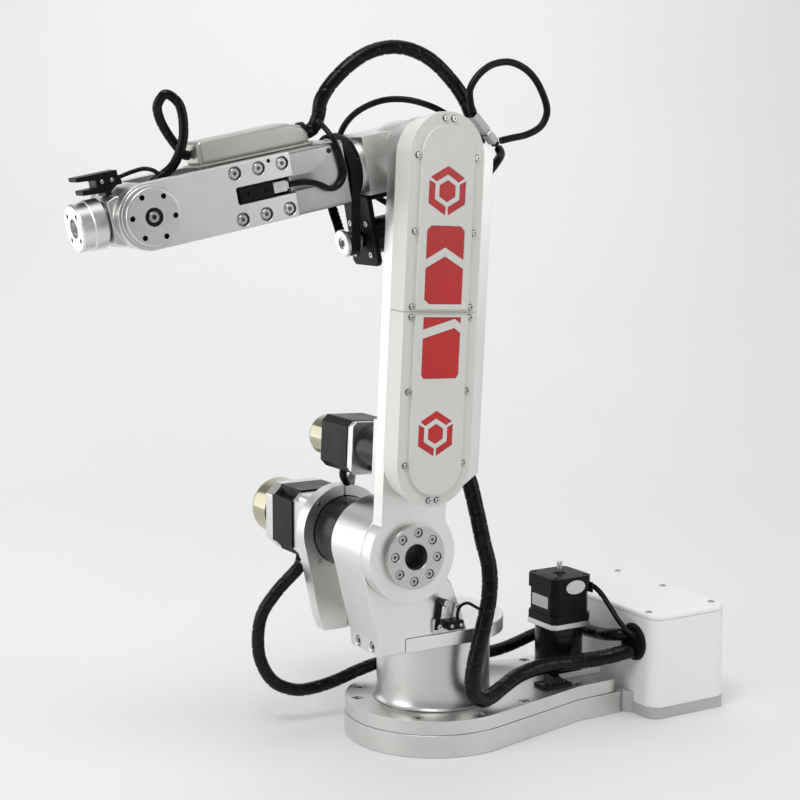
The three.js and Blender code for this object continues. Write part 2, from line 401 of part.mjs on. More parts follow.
// ---------------------------------------------------------------- cables (world frame)
const armPoint = (u, v, y) => [J2X - Math.sin(ARM_LEAN) * u + Math.cos(ARM_LEAN) * v, y, J2Z + Math.cos(ARM_LEAN) * u + Math.sin(ARM_LEAN) * v];
const forePoint = (u, v, y) => [J3X + Math.cos(FORE_DROOP) * u + Math.sin(FORE_DROOP) * v, y, J3Z - Math.sin(FORE_DROOP) * u + Math.cos(FORE_DROOP) * v];
const HARNESS_D = 13.4;
add(world, 'harness_lower', cable([
  [-166.5, 54.2, 55.6], [-162, 54, 55.5], [-154, 51, 53.4], [-142, 44.6, 50.4], [-128, 39.2, 48.8], [-111.6, 36, 48.6], [-88, 36, 49.5], [-58.3, 41, 47.2], [-35, 50.5, 43],
  [-20, 57, 40], [-8, 62.5, 40.6], [2, 65.5, 47], [4.6, 66.5, 57], [2.5, 66.8, 74], [-4.5, 66.8, 99.7], [-10.6, 65.6, 121], [-12.4, 64.6, 131], [-12.98, 63.93, 134.7]], HARNESS_D, 28, 10), CABLE);
add(world, 'harness_upper', union(
  cable([
    [-13.04, 63.85, 135.1], [-13.6, 63.2, 138.8], [-13.9, 60.4, 152], [-11.1, 57, 168], [-6.8, 53.2, 194.1], [-1.3, 48.6, 221.3], armPoint(75, -50, 47.6), armPoint(105, -45.4, 47.8),
    armPoint(150, -45, 48), armPoint(205, -45, 48), armPoint(258, -45, 48), armPoint(280, -46.6, 48), armPoint(284, -46.9, 48)], HARNESS_D, 28, 10),
  cable([
    armPoint(262, -46, 48), armPoint(280, -55, 47), armPoint(291, -65.5, 47.6), armPoint(301, -71.5, 52), armPoint(309, -71.6, 60), armPoint(313.6, -65.6, 66)], 7, 14, 8)), CABLE);
add(world, 'motor_loop', union(cable([
  [92.6, -58, 140.2], [97, -60, 134], [103.8, -66, 124.3], [112.1, -70, 113.4], [121, -74, 98], [124.6, -75, 80], [122.6, -75, 58], [111.8, -72.5, 38.5], [93.3, -68.5, 29.5], [76, -66, 29.6],
  [58, -63.5, 33.2], [38, -62, 39], [18.2, -60, 43.4], [-10, -61, 42], [-45, -58, 38.5], [-75, -53.5, 38.5], [-98.8, -49, 40.6], [-116, -47, 44.5], [-134, -43, 51], [-150, -33, 57], [-158.8, -18, 60],
  [-160.4, 0, 61], [-160.2, 18, 62.6], [-158.4, 30, 65], [-157.8, 37.6, 66.8], [-159.2, 43, 67.9], [-162, 46.3, 68.4], [-164.4, 46.8, 68.4], [-166.2, 46.8, 68.4]], 11, 50, 8),
  cable([[78, -90, 141.2], [78.6, -90, 136.4], [82, -88, 129], [89, -82.5, 122.4], [98, -75, 118.6], [107.5, -69.4, 117.4]], 5, 12, 8)), CABLE);
add(world, 'j1_motor_lead', cable([[-151, 13, 105.6], [-154.4, 13.6, 105.2], [-158.4, 19.6, 100], [-160.4, 30, 90.4], [-160.8, 42, 80.6], [-161, 50, 75.8], [-161.8, 55, 73], [-163.2, 58.4, 71.4], [-164.8, 59.3, 70.9], [-166.3, 59.3, 70.9]], 4.6, 18, 8), CABLE);
add(world, 'j2_switch_lead', cable([[18, 65, 111.4], [18.2, 65.2, 116.5], [15.6, 65.6, 121.4], [9.6, 66.1, 122.8], [3.4, 66.4, 119.6], [-1.7, 66.2, 117.2]], 2.6, 10, 6), CABLE);
add(world, 'j3_motor_lead', cable([
  armPoint(53.1, 12, -20), armPoint(48.4, 12, -20.1), [69.6, -22, 212.6], [63.6, -28.6, 212.4], [56, -38.6, 213], [49.4, -49, 210], [45.4, -57.6, 204.6], [44.6, -59.7, 201.4], [44.5, -59.9, 198.5]], 6.4, 18, 8), CABLE);
add(world, 'top_loop_rear', cable([
  armPoint(284.4, -46.93, 48), armPoint(288.4, -47.3, 48.05), armPoint(305, -52, 48.8), [-8.2, 50, 488], [-3.4, 50, 500.2], [5.8, 49, 519.1], [18.3, 47, 534.4], [32, 44.6, 546.4], [45, 42.3, 552.8], [54.06, 41.06, 554.98], [57.8, 40.53, 555.28]], 11.6, 18, 8), CABLE);
add(world, 'top_loop_front', cable([
  [58.2, 40.47, 555.32], [61.94, 39.94, 555.62], [78, 37, 552.6], [93.5, 34.4, 544.4], [110.7, 31, 528.4], forePoint(60.4, 53, 28.8), forePoint(63.8, 42.6, 27), forePoint(67.6, 35.4, 25.2), forePoint(72.4, 32.5, 24.1), forePoint(76.1, 32.4, 24)], 11.6, 18, 8), CABLE);
add(world, 'j4_motor_lead', cable([
  [0.6, 46.3, 488.6], [6, 47.4, 495.4], [17.8, 49, 504], [29.9, 44, 511.2], [44.4, 34, 516.4], [57.1, 24, 517], [67, 12, 513.2], [76.4, 0, 504.4], [82, -8, 491], [81, -10.6, 476],
  forePoint(27, -8, -11), forePoint(12, -25, -11), forePoint(-5, -40, -9), forePoint(-20, -50, -3), forePoint(-26.4, -53.9, 4.4), forePoint(-27, -54.3, 9.3)], 5, 30, 8), CABLE);
add(world, 'ring_loop', cable([
  armPoint(339.2, -39.6, 66.4), [10.5, 66.2, 516.3], [10.8, 66.3, 524], [2.5, 66.6, 535.9], [-10.5, 67, 543.7], [-26.4, 68, 545.2], [-42.7, 69, 537.7], [-53.6, 70, 523.4], [-58.6, 70, 508.2], [-53.8, 69.6, 497.8],
  [-42, 69, 491.2], [-26.5, 67.6, 487.8], armPoint(319.6, -66.4, 66.4)], 6.4, 30, 8), CABLE);
add(world, 'j4_switch_lead', cable([
  [125.2, 36, 500.2], [125.8, 42, 497.2], [124.6, 49.6, 491.8], [121.2, 55.4, 483], [116.7, 56.2, 470.9], [114.6, 56.2, 460.4], [119, 56.2, 452.6],
  forePoint(79.6, -9.2, 56.2), forePoint(86, -5.4, 56.2), forePoint(91, -2.6, 55.4), forePoint(97, -0.9, 53), forePoint(103, -0.2, 51), forePoint(110.6, 0, 50.4)], 4.2, 18, 8), CABLE);
add(world, 'wrist_lead', cable([
  forePoint(170.8, 33.4, 22.4), forePoint(173.8, 33.8, 21.8), forePoint(178.2, 41.4, 20), forePoint(182.8, 51, 19.2), forePoint(187, 62, 20.4), forePoint(188, 72, 23), forePoint(181.6, 79, 26.4), forePoint(174.2, 71, 29), forePoint(174.6, 53, 30.2),
  forePoint(179.4, 39.6, 29.6), forePoint(188, 28, 27.4), forePoint(198, 22.4, 24.8), forePoint(206, 18.3, 24)], 8, 28, 8), CABLE);
add(world, 'j6_switch_lead', cable([
  forePoint(200.6, 28.2, 25.4), forePoint(206.4, 30.6, 20.6), forePoint(214, 29.8, 17.6), forePoint(221.6, 29, 19.4), forePoint(226, 28.7, 23), forePoint(228.6, 28.7, 24)], 3.2, 8, 6), CABLE);

export default robot;
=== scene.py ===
# Desktop robot arm: the looks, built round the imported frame. Lengths below are in millimetres until they reach a mesh.
import bpy, bmesh, math, json
import numpy as np
from mathutils import Vector, Matrix
from mathutils.geometry import tessellate_polygon


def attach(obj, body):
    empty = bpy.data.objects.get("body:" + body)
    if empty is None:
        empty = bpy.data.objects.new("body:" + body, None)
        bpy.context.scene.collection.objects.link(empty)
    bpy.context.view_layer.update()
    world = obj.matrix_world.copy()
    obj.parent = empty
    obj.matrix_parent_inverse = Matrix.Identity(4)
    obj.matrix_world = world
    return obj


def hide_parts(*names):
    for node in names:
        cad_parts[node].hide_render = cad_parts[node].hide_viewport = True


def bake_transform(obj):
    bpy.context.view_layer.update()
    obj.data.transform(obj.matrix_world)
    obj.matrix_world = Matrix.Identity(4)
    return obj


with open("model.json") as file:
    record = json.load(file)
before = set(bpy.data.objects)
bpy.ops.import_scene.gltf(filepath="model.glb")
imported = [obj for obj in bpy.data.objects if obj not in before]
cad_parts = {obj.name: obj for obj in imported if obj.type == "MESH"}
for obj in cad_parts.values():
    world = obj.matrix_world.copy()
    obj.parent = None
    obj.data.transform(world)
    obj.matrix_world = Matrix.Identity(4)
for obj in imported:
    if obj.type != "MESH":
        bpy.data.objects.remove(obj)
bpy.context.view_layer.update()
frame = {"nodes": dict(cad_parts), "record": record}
scene = bpy.context.scene
MM = 0.001

# ------------------------------------------------------------------ camera, at the photograph's angle
AZ, PITCH, ROLL = math.radians(148.973), math.radians(8.079), math.radians(0.082)
back = Vector((math.sin(AZ) * math.cos(PITCH), -math.cos(AZ) * math.cos(PITCH), math.sin(PITCH)))
right = Vector((0, 0, 1)).cross(back).normalized()
upv = back.cross(right)
r2 = right * math.cos(ROLL) + upv * math.sin(ROLL)
u2 = upv * math.cos(ROLL) - right * math.sin(ROLL)
cam_data = bpy.data.cameras.new("camera")
cam_data.sensor_width = 36
cam_data.lens = 1717.236 * 36 / 800
cam_data.clip_start, cam_data.clip_end = 0.05, 30
camera = bpy.data.objects.new("camera", cam_data)
scene.collection.objects.link(camera)
M = Matrix((r2, u2, back)).transposed().to_4x4()
M.translation = Vector((0.7379145, 1.1727821, 0.4739213))
camera.matrix_world = M
scene.camera = camera

# ------------------------------------------------------------------ driving dimensions, as in the CAD
J2X, J2Z, ARM_L = 64.2, 169.77, 305.0
LEAN, DROOP = math.radians(2.74), math.radians(11.0)
J3X, J3Z = J2X - math.sin(LEAN) * ARM_L, J2Z + math.cos(LEAN) * ARM_L
WRIST_U = 222.63
J2_GEARBOX_R = 28.5
WORLD = Matrix.Identity(4)
ARM = Matrix.Translation((J2X, 0, J2Z)) @ Matrix.Rotation(-LEAN, 4, "Y")
FORE = Matrix.Translation((J3X, 0, J3Z)) @ Matrix.Rotation(DROOP, 4, "Y")


def A(u, v, y):
    return tuple(ARM @ Vector((v, y, u)))


def F(u, v, y):
    return tuple(FORE @ Vector((u, y, v)))


# ------------------------------------------------------------------ materials
def nodes_of(name):
    m = bpy.data.materials.new(name)
    m.use_nodes = True
    nt = m.node_tree
    bsdf = nt.nodes["Principled BSDF"]
    tc = nt.nodes.new("ShaderNodeTexCoord")
    return m, nt, bsdf, tc.outputs["Object"]


def noise(nt, co, scale, detail=2.0, rough=0.5):
    n = nt.nodes.new("ShaderNodeTexNoise")
    n.inputs["Scale"].default_value = scale
    n.inputs["Detail"].default_value = detail
    n.inputs["Roughness"].default_value = rough
    nt.links.new(co, n.inputs["Vector"])
    return n.outputs["Fac"]


def remap(nt, fac, lo, hi, a=0.3, b=0.7):
    n = nt.nodes.new("ShaderNodeMapRange")
    n.inputs["From Min"].default_value, n.inputs["From Max"].default_value = a, b
    n.inputs["To Min"].default_value, n.inputs["To Max"].default_value = lo, hi
    nt.links.new(fac, n.inputs["Value"])
    return n.outputs["Result"]


def ramp(nt, fac, c0, c1, p0=0.3, p1=0.7):
    n = nt.nodes.new("ShaderNodeValToRGB")
    n.color_ramp.elements[0].position, n.color_ramp.elements[1].position = p0, p1
    n.color_ramp.elements[0].color, n.color_ramp.elements[1].color = (*c0, 1), (*c1, 1)
    nt.links.new(fac, n.inputs["Fac"])
    return n.outputs["Color"]


def bump(nt, bsdf, fac, strength, dist, prev=None):
    n = nt.nodes.new("ShaderNodeBump")
    n.inputs["Strength"].default_value = strength
    n.inputs["Distance"].default_value = dist
    nt.links.new(fac, n.inputs["Height"])
    if prev is not None:
        nt.links.new(prev, n.inputs["Normal"])
    nt.links.new(n.outputs["Normal"], bsdf.inputs["Normal"])
    return n.outputs["Normal"]


def metal(name, c0, c1, r0, r1, grain=1500, strength=0.12, metallic=1.0, spec=0.5):
    m, nt, b, co = nodes_of(name)
    nt.links.new(ramp(nt, noise(nt, co, 18, 3), c0, c1), b.inputs["Base Color"])
    b.inputs["Metallic"].default_value = metallic
    b.inputs["Specular IOR Level"].default_value = spec
    nt.links.new(remap(nt, noise(nt, co, 55, 4), r0, r1), b.inputs["Roughness"])
    bump(nt, b, noise(nt, co, grain, 2), strength, 0.00004)
    return m


def turned(name, centre, axis, c0, c1, r0, r1):
    """Concentric lathe marks about an axis through centre, in mm."""
    m, nt, b, co = nodes_of(name)
    mp = nt.nodes.new("ShaderNodeMapping")
    mp.inputs["Location"].default_value = tuple(-c * MM for c in centre)
    nt.links.new(co, mp.inputs["Vector"])
    w = nt.nodes.new("ShaderNodeTexWave")
    w.wave_type, w.rings_direction = "RINGS", axis
    w.inputs["Scale"].default_value = 420
    w.inputs["Distortion"].default_value = 0.6
    w.inputs["Detail"].default_value = 1.5
    nt.links.new(mp.outputs["Vector"], w.inputs["Vector"])
    nt.links.new(ramp(nt, w.outputs["Fac"], c0, c1, 0.0, 1.0), b.inputs["Base Color"])
    b.inputs["Metallic"].default_value = 1.0
    nt.links.new(remap(nt, noise(nt, co, 60, 3), r0, r1), b.inputs["Roughness"])
    bump(nt, b, w.outputs["Fac"], 0.04, 0.00002)
    return m


def plastic(name, c0, c1, r0, r1, grain=1200, strength=0.08, coat=0.0, layers=0.0, spec=0.5):
    m, nt, b, co = nodes_of(name)
    b.inputs["Specular IOR Level"].default_value = spec
    nt.links.new(ramp(nt, noise(nt, co, 14, 3), c0, c1), b.inputs["Base Color"])
    nt.links.new(remap(nt, noise(nt, co, 40, 3), r0, r1), b.inputs["Roughness"])
    n1 = bump(nt, b, noise(nt, co, grain, 2), strength, 0.00005)
    if layers:
        w = nt.nodes.new("ShaderNodeTexWave")
        w.wave_type, w.bands_direction = "BANDS", "Y"
        w.inputs["Scale"].default_value = 700
        nt.links.new(co, w.inputs["Vector"])
        bump(nt, b, w.outputs["Fac"], layers, 0.00003, n1)
    if coat:
        b.inputs["Coat Weight"].default_value = coat
        b.inputs["Coat Roughness"].default_value = 0.12
    return m


ALU = metal("anodised_aluminium", (0.640, 0.638, 0.622), (0.705, 0.702, 0.685), 0.32, 0.42, 1700, 0.14)
ALU_FINE = metal("milled_aluminium", (0.68, 0.677, 0.665), (0.735, 0.731, 0.72), 0.29, 0.37, 2400, 0.06)
ALU_LIGHT = metal("bright_anodised", (0.745, 0.742, 0.725), (0.805, 0.802, 0.785), 0.31, 0.40, 1700, 0.12)
# darker copy of the aluminium for the shoulder flange face: painted shade of the recessed face
DISC_SHADE = metal("turned_disc_painted_shade", (0.53, 0.53, 0.515), (0.59, 0.59, 0.574), 0.28, 0.36, 2200, 0.06)
# darker copy of the aluminium: painted shade on the forearm body, which sits recessed behind the side plate
ALU_BODY_SHADE = metal("brushed_forearm_painted_shade", (0.33, 0.332, 0.322), (0.41, 0.412, 0.40), 0.26, 0.36, 1900, 0.10)
# forearm cover colour darkened from its ivory: painted shade and painted dark reflection on its side faces
SATIN_SHADE = metal("satin_cover_painted_shade", (0.41, 0.405, 0.38), (0.48, 0.474, 0.447), 0.26, 0.36, 1500, 0.06, 0.55)
STEEL = metal("stainless_screw", (0.46, 0.46, 0.45), (0.56, 0.56, 0.55), 0.20, 0.30, 2500, 0.06)
# blackened steel for dark steel parts; the same material makes the thin dark rings under the cover screws, a painted
# shadow
DARK_STEEL_AND_SHADE = metal("blackened_steel_and_painted_shadow", (0.05, 0.05, 0.052), (0.09, 0.09, 0.092), 0.28, 0.40, 2500, 0.06)
# dark tone on the shaft inside the shoulder flange bore: painted shade in the bore
BORE_SHADE = metal("shaft_bore_painted_shade", (0.13, 0.135, 0.125), (0.19, 0.195, 0.182), 0.30, 0.42, 1500, 0.10)
BRASS = metal("pale_brass", (0.39, 0.364, 0.258), (0.48, 0.452, 0.332), 0.08, 0.15, 1600, 0.04)
# black oxide for the black steel parts; the same material lines holes and makes flat dark marks as painted shade
BLACK_OXIDE_AND_SHADE = metal("black_oxide_and_painted_shade", (0.0035, 0.0035, 0.004), (0.008, 0.008, 0.009), 0.20, 0.28, 2600, 0.03, 0.0, 0.24)
LAMINATION = metal("black_lamination", (0.0025, 0.0025, 0.003), (0.006, 0.006, 0.0066), 0.30, 0.40, 1400, 0.10, 0.0, 0.14)
IVORY = plastic("satin_ivory", (0.655, 0.648, 0.622), (0.70, 0.692, 0.666), 0.34, 0.44, 1500, 0.08, 0.10, 0.03)
WHITE = plastic("satin_white", (0.880, 0.880, 0.868), (0.900, 0.900, 0.888), 0.36, 0.44, 1500, 0.02)
GREY = plastic("warm_grey", (0.46, 0.47, 0.45), (0.52, 0.525, 0.505), 0.42, 0.54, 900, 0.12)
# matte black for the black plastic parts; the same material fills the gap behind the J2 encoder cap as painted shade
BLACK_AND_SHADE = plastic("matte_black_and_painted_shade", (0.003, 0.003, 0.0034), (0.007, 0.007, 0.0078), 0.36, 0.48, 1300, 0.10, spec=0.14)
RUBBER = plastic("belt_rubber", (0.004, 0.004, 0.004), (0.009, 0.009, 0.009), 0.50, 0.66, 1500, 0.2, spec=0.14)
SLEEVE = plastic("spiral_wrap", (0.0015, 0.0015, 0.0018), (0.004, 0.004, 0.0045), 0.20, 0.30, 900, 0.06, spec=0.2)
JACKET = plastic("cable_jacket", (0.0015, 0.0015, 0.0018), (0.0045, 0.0045, 0.005), 0.24, 0.34, 1100, 0.06, spec=0.18)
RED = plastic("red_inlay", (0.44, 0.008, 0.008), (0.56, 0.014, 0.012), 0.30, 0.40, 1300, 0.06, 0.10)
LABEL = plastic("blank_label", (0.62, 0.62, 0.60), (0.68, 0.68, 0.66), 0.36, 0.48, 1000, 0.05)
_cap = F(WRIST_U, 0, 62)
CAP_FACE = turned("turned_cap", _cap, "Y", (0.60, 0.605, 0.60), (0.64, 0.645, 0.64), 0.32, 0.38)


# ------------------------------------------------------------------ mesh helpers
class Build:
    """Collects closed solids in millimetres in a local frame, and makes one object in metres."""

    def __init__(self, name, local=WORLD):
        self.name, self.local = name, local
        self.v, self.f, self.mi, self.mats = [], [], [], []
        self.cur = 0

    def use(self, m):
        if m not in self.mats:
            self.mats.append(m)
        self.cur = self.mats.index(m)
        return self

    def ring(self, pts):
        s = len(self.v)
        self.v.extend(tuple(p) for p in pts)
        return list(range(s, s + len(pts)))

    def face(self, idx):
        self.f.append(list(idx)); self.mi.append(self.cur)

    def skin(self, a, b):
        n = len(a)
        for i in range(n):
            j = (i + 1) % n
            self.face((a[i], a[j], b[j], b[i]))

    def prism(self, outer, lo, hi, bevel=0.6, holes=(), place=None, steps=3, bevel_lo=None):
        """Outline (counter-clockwise in its own plane) raised from lo to hi with rounded rims. holes: (cx, cy, [(r, depth below hi), ...], through)."""
        place = place or (lambda x, y, z: (x, y, z))
        bl = bevel if bevel_lo is None else bevel_lo
        outer = ccw(outer)
        rings = []
        if bl > 0:
            for k in range(steps + 1):
                t = math.pi / 2 * k / steps
                rings.append((inset(outer, bl * (1 - math.sin(t))), lo + bl * (1 - math.cos(t))))
        else:
            rings.append((outer, lo))
        if bevel > 0:
            for k in range(steps + 1):
                t = math.pi / 2 * (1 - k / steps)
                rings.append((inset(outer, bevel * (1 - math.sin(t))), hi - bevel * (1 - math.cos(t))))
        else:
            rings.append((outer, hi))
        made = [self.ring([place(x, y, z) for x, y in pts]) for pts, z in rings]
        for a, b in zip(made, made[1:]):
            self.skin(a, b)
        top_loops, bot_loops = [(rings[-1][0], made[-1])], [(rings[0][0], made[0])]
        body_mat = self.cur
        for h in holes:
            cx, cy, prof, through = h[:4]
            n = h[4] if len(h) > 4 else 28
            hr = []
            for r, d in prof:
                pts = [(cx + r * math.cos(-2 * math.pi * i / n), cy + r * math.sin(-2 * math.pi * i / n)) for i in range(n)]
                hr.append((pts, self.ring([place(x, y, hi - d) for x, y in pts])))
            if len(h) > 5:
                self.use(h[5])
            for (pa, a), (pb, b) in zip(hr, hr[1:]):
                self.skin(b, a)
            top_loops.append(hr[0])
            if through:
                bot_loops.append(hr[-1])
            else:
                self.face(list(reversed(hr[-1][1])))
            self.cur = body_mat
        self.cap(top_loops, True)
        self.cap(bot_loops, False)
        return self

    def cap(self, loops, up):
        flat = [p for pts, _ in loops for p in pts]
        idx = [i for _, ring in loops for i in ring]
        if len(loops) == 1:
            self.face(idx if up else list(reversed(idx)))
            return
        for t in tessellate_polygon([[Vector((x, y, 0)) for x, y in pts] for pts, _ in loops]):
            a, b, c = (flat[k] for k in t)
            area = (b[0] - a[0]) * (c[1] - a[1]) - (b[1] - a[1]) * (c[0] - a[0])
            if abs(area) < 1e-12:
                continue
            tri = [idx[k] for k in t]
            if (area > 0) != up:
                tri.reverse()
            self.face(tri)

    def lathe(self, prof, place, n=64, closed=False):
        """prof: [(r, h)]; place(x, y, h) maps the section plane to the local frame. Runs from axis to axis unless closed."""
        rings = []
        for r, h in prof:
            if r < 1e-6:
                rings.append([len(self.v)]); self.v.append(tuple(place(0, 0, h)))
            else:
                rings.append(self.ring([place(r * math.cos(2 * math.pi * i / n), r * math.sin(2 * math.pi * i / n), h) for i in range(n)]))
        if closed:
            rings.append(rings[0])
        for a, b in zip(rings, rings[1:]):
            if len(a) == 1 and len(b) == 1:
                continue
            if len(a) == 1:
                for i in range(n):
                    self.face((a[0], b[(i + 1) % n], b[i]))
            elif len(b) == 1:
                for i in range(n):
                    self.face((a[i], a[(i + 1) % n], b[0]))
            else:
                self.skin(a, b)
        return self

    def screw(self, c, n, r=3.0, h=1.8, hexr=None, dome=0.25):
        """Cap screw head seated at c with outward normal n, and a hex recess."""
        n = Vector(n).normalized()
        t = n.orthogonal().normalized()
        s = n.cross(t)
        c = Vector(c)
        hexr = hexr or r * 0.52
        P = lambda x, y, z: tuple(c + t * x + s * y + n * z)
        k = 24
        circ = lambda rad, z: self.ring([P(rad * math.cos(2 * math.pi * i / k), rad * math.sin(2 * math.pi * i / k), z) for i in range(k)])
        rings = [circ(r, -0.4), circ(r, h - dome), circ(r - dome, h)]
        inner = [P(hexr * math.cos(2 * math.pi * i / k) * hexk(i, k), hexr * math.sin(2 * math.pi * i / k) * hexk(i, k), h) for i in range(k)]
        ri = self.ring(inner)
        rd = self.ring([tuple(Vector(p) - n * (h * 0.7)) for p in inner])
        self.face(list(reversed(rings[0])))
        for a, b in zip(rings + [ri], rings[1:] + [ri, rd]):
            if a is not b:
                self.skin(a, b)
        self.face(rd)
        return self

    def done(self, body, replaces=(), slot=None, smooth=32, weighted=True, bevel=0.0):
        me = bpy.data.meshes.new(self.name)
        verts = [tuple((self.local @ Vector(p)) * MM) for p in self.v]
        me.from_pydata(verts, [], self.f)
        me.update()
        for m in self.mats:
            me.materials.append(m)
        me.polygons.foreach_set("material_index", self.mi)
        bm = bmesh.new(); bm.from_mesh(me)
        bmesh.ops.remove_doubles(bm, verts=bm.verts, dist=1e-7)
        bmesh.ops.dissolve_degenerate(bm, edges=bm.edges, dist=1e-8)
        bmesh.ops.recalc_face_normals(bm, faces=bm.faces)
        bm.to_mesh(me); bm.free()
        o = bpy.data.objects.new(self.name, me)
        scene.collection.objects.link(o)
        finish_mesh(o, smooth, weighted, bevel)
        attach(o, body)
        if replaces:
            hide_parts(*replaces)
        return o


def hexk(i, k):
    a = (2 * math.pi * i / k) % (math.pi / 3) - math.pi / 6
    return math.cos(math.pi / 6) / math.cos(a)


def finish_mesh(o, smooth=32, weighted=True, bevel=0.0):
    me = o.data
    me.polygons.foreach_set("use_smooth", [True] * len(me.polygons))
    me.set_sharp_from_angle(angle=math.radians(smooth))
    if bevel:
        b = o.modifiers.new("rim", "BEVEL")
        b.width, b.segments, b.limit_method, b.angle_limit = bevel * MM, 2, "ANGLE", math.radians(34)
        b.harden_normals = False
        b.miter_outer = "MITER_ARC"
    if weighted:
        w = o.modifiers.new("normals", "WEIGHTED_NORMAL")
        w.keep_sharp = True
        w.weight = 50


def bake_boolean(obj, tool):
    """Subtracts tool from obj's mesh for good and removes the tool."""
    m = obj.modifiers.new("pockets", "BOOLEAN")
    m.operation, m.solver, m.object = "DIFFERENCE", "EXACT", tool
    keep = [x for x in obj.modifiers if x != m]
    for x in keep:
        x.show_viewport = False
    bpy.context.view_layer.update()
    dg = bpy.context.evaluated_depsgraph_get()
    new = bpy.data.meshes.new_from_object(obj.evaluated_get(dg))
    obj.modifiers.remove(m)
    for x in keep:
        x.show_viewport = True
    obj.data = new
    bpy.data.objects.remove(tool, do_unlink=True)
    return obj


def ccw(pts):
    a = sum(p[0] * q[1] - q[0] * p[1] for p, q in zip(pts, pts[1:] + pts[:1]))
    return list(pts) if a > 0 else list(reversed(pts))


def inset(pts, d):
    """Moves a counter-clockwise loop inwards by d."""
    if abs(d) < 1e-9:
        return list(pts)
    out, n = [], len(pts)
    for i in range(n):
        p, a, b = Vector(pts[i]), Vector(pts[i - 1]), Vector(pts[(i + 1) % n])
        e1, e2 = (p - a), (b - p)
        if e1.length < 1e-9 or e2.length < 1e-9:
            out.append((p.x, p.y)); continue
        e1.normalize(); e2.normalize()
        n1, n2 = Vector((-e1.y, e1.x)), Vector((-e2.y, e2.x))
        k = max(0.35, 1 + n1.dot(n2))
        q = p + (n1 + n2) * (d / k)
        out.append((q.x, q.y))
    return out


def arc(cx, cy, r, a0, a1, n):
    return [(cx + r * math.cos(math.radians(a0 + (a1 - a0) * i / n)), cy + r * math.sin(math.radians(a0 + (a1 - a0) * i / n))) for i in range(n + 1)]


def rrect(a0, a1, b0, b1, r, n=8):
    return arc(a1 - r, b1 - r, r, 0, 90, n) + arc(a0 + r, b1 - r, r, 90, 180, n) + arc(a0 + r, b0 + r, r, 180, 270, n) + arc(a1 - r, b0 + r, r, 270, 360, n)


def fillet(pts, radii, n=5):
    """Rounds the corners of a closed outline; radii is one number or one per corner."""
    out, k = [], len(pts)
    for i in range(k):
        r = radii[i] if hasattr(radii, "__len__") else radii
        p, a, b = Vector(pts[i]), Vector(pts[i - 1]), Vector(pts[(i + 1) % k])
        if r <= 0:
            out.append((p.x, p.y)); continue
        d1, d2 = (a - p), (b - p)
        l1, l2 = d1.length, d2.length
        d1.normalize(); d2.normalize()
        ang = math.acos(max(-1, min(1, d1.dot(d2))))
        if ang > math.radians(176):
            out.append((p.x, p.y)); continue
        t = min(r / math.tan(ang / 2), l1 * 0.48, l2 * 0.48)
        s, e = p + d1 * t, p + d2 * t
        for j in range(n + 1):
            f = j / n
            q = s * (1 - f) ** 2 + p * (2 * f * (1 - f)) + e * f ** 2
            out.append((q.x, q.y))
    return out


# planes: an outline (a, b) raised along the remaining axis
XY = lambda x, y, z: (x, y, z)
XZ = lambda x, z, y: (x, y, z)      # outline in x and z, raised along y (mirrors)
YZ = lambda y, z, x: (x, y, z)


def flip_all(b):
    b.f = [list(reversed(f)) for f in b.f]
    return b


def about_y(cx, cz):
    return lambda x, y, h: (cx + x, h, cz - y)


def about_x(cy, cz):
    return lambda x, y, h: (h, cy + x, cz + y)


def about_z(cx, cy):
    return lambda x, y, h: (cx + x, cy + y, h)


def node_body(node):
    for b, ns in frame["record"]["behaviour"]["bodies"].items():
        if node in ns:
            return b
    raise KeyError(node)


def refine(node, mats, bevel=0.5, pick=None, name=None, smooth=32):
    """A CAD solid carried over with cleaned planar faces, rounded rims and its finish. pick(face centre in mm, normal) -> material index."""
    src = frame["nodes"][node]
    me = src.data.copy()
    me.name = (name or node) + "_shape"
    bm = bmesh.new(); bm.from_mesh(me)
    bmesh.ops.remove_doubles(bm, verts=bm.verts, dist=2e-6)
    bmesh.ops.dissolve_limit(bm, angle_limit=math.radians(0.6), verts=bm.verts, edges=bm.edges, delimit=set())
    bmesh.ops.recalc_face_normals(bm, faces=bm.faces)
    bm.to_mesh(me); bm.free()
    me.materials.clear()
    mats = mats if isinstance(mats, (list, tuple)) else [mats]
    for m in mats:
        me.materials.append(m)
    if pick:
        for p in me.polygons:
            p.material_index = pick(Vector(p.center) / MM, Vector(p.normal))
    else:
        me.polygons.foreach_set("material_index", [0] * len(me.polygons))
    o = bpy.data.objects.new((name or node) + "_shape", me)
    scene.collection.objects.link(o)
    finish_mesh(o, smooth, True, bevel)
    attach(o, node_body(node))
    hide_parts(node)
    return o


# ------------------------------------------------------------------ cables
def centripetal(pts, n):
    """The CAD's own route: a centripetal Catmull-Rom curve through pts, n+1 evenly spaced points."""
    P = [np.array(p, float) for p in pts]
    P = [2 * P[0] - P[1]] + P + [2 * P[-1] - P[-2]]
    fine = []
    for i in range(1, len(P) - 2):
        p0, p1, p2, p3 = P[i - 1], P[i], P[i + 1], P[i + 2]
        d0, d1, d2 = (max(np.linalg.norm(b - a) ** 0.5, 1e-4) for a, b in ((p0, p1), (p1, p2), (p2, p3)))
        t1 = ((p1 - p0) / d0 - (p2 - p0) / (d0 + d1) + (p2 - p1) / d1) * d1
        t2 = ((p2 - p1) / d1 - (p3 - p1) / (d1 + d2) + (p3 - p2) / d2) * d1
        for k in range(24):
            t = k / 24
            fine.append((2 * t ** 3 - 3 * t ** 2 + 1) * p1 + (t ** 3 - 2 * t ** 2 + t) * t1 + (-2 * t ** 3 + 3 * t ** 2) * p2 + (t ** 3 - t ** 2) * t2)
    fine.append(P[-2])
    fine = np.array(fine)
    s = np.concatenate([[0], np.cumsum(np.linalg.norm(np.diff(fine, axis=0), axis=1))])
    want = np.linspace(0, s[-1], n + 1)
    return np.stack([np.interp(want, s, fine[:, k]) for k in range(3)], 1), s[-1]


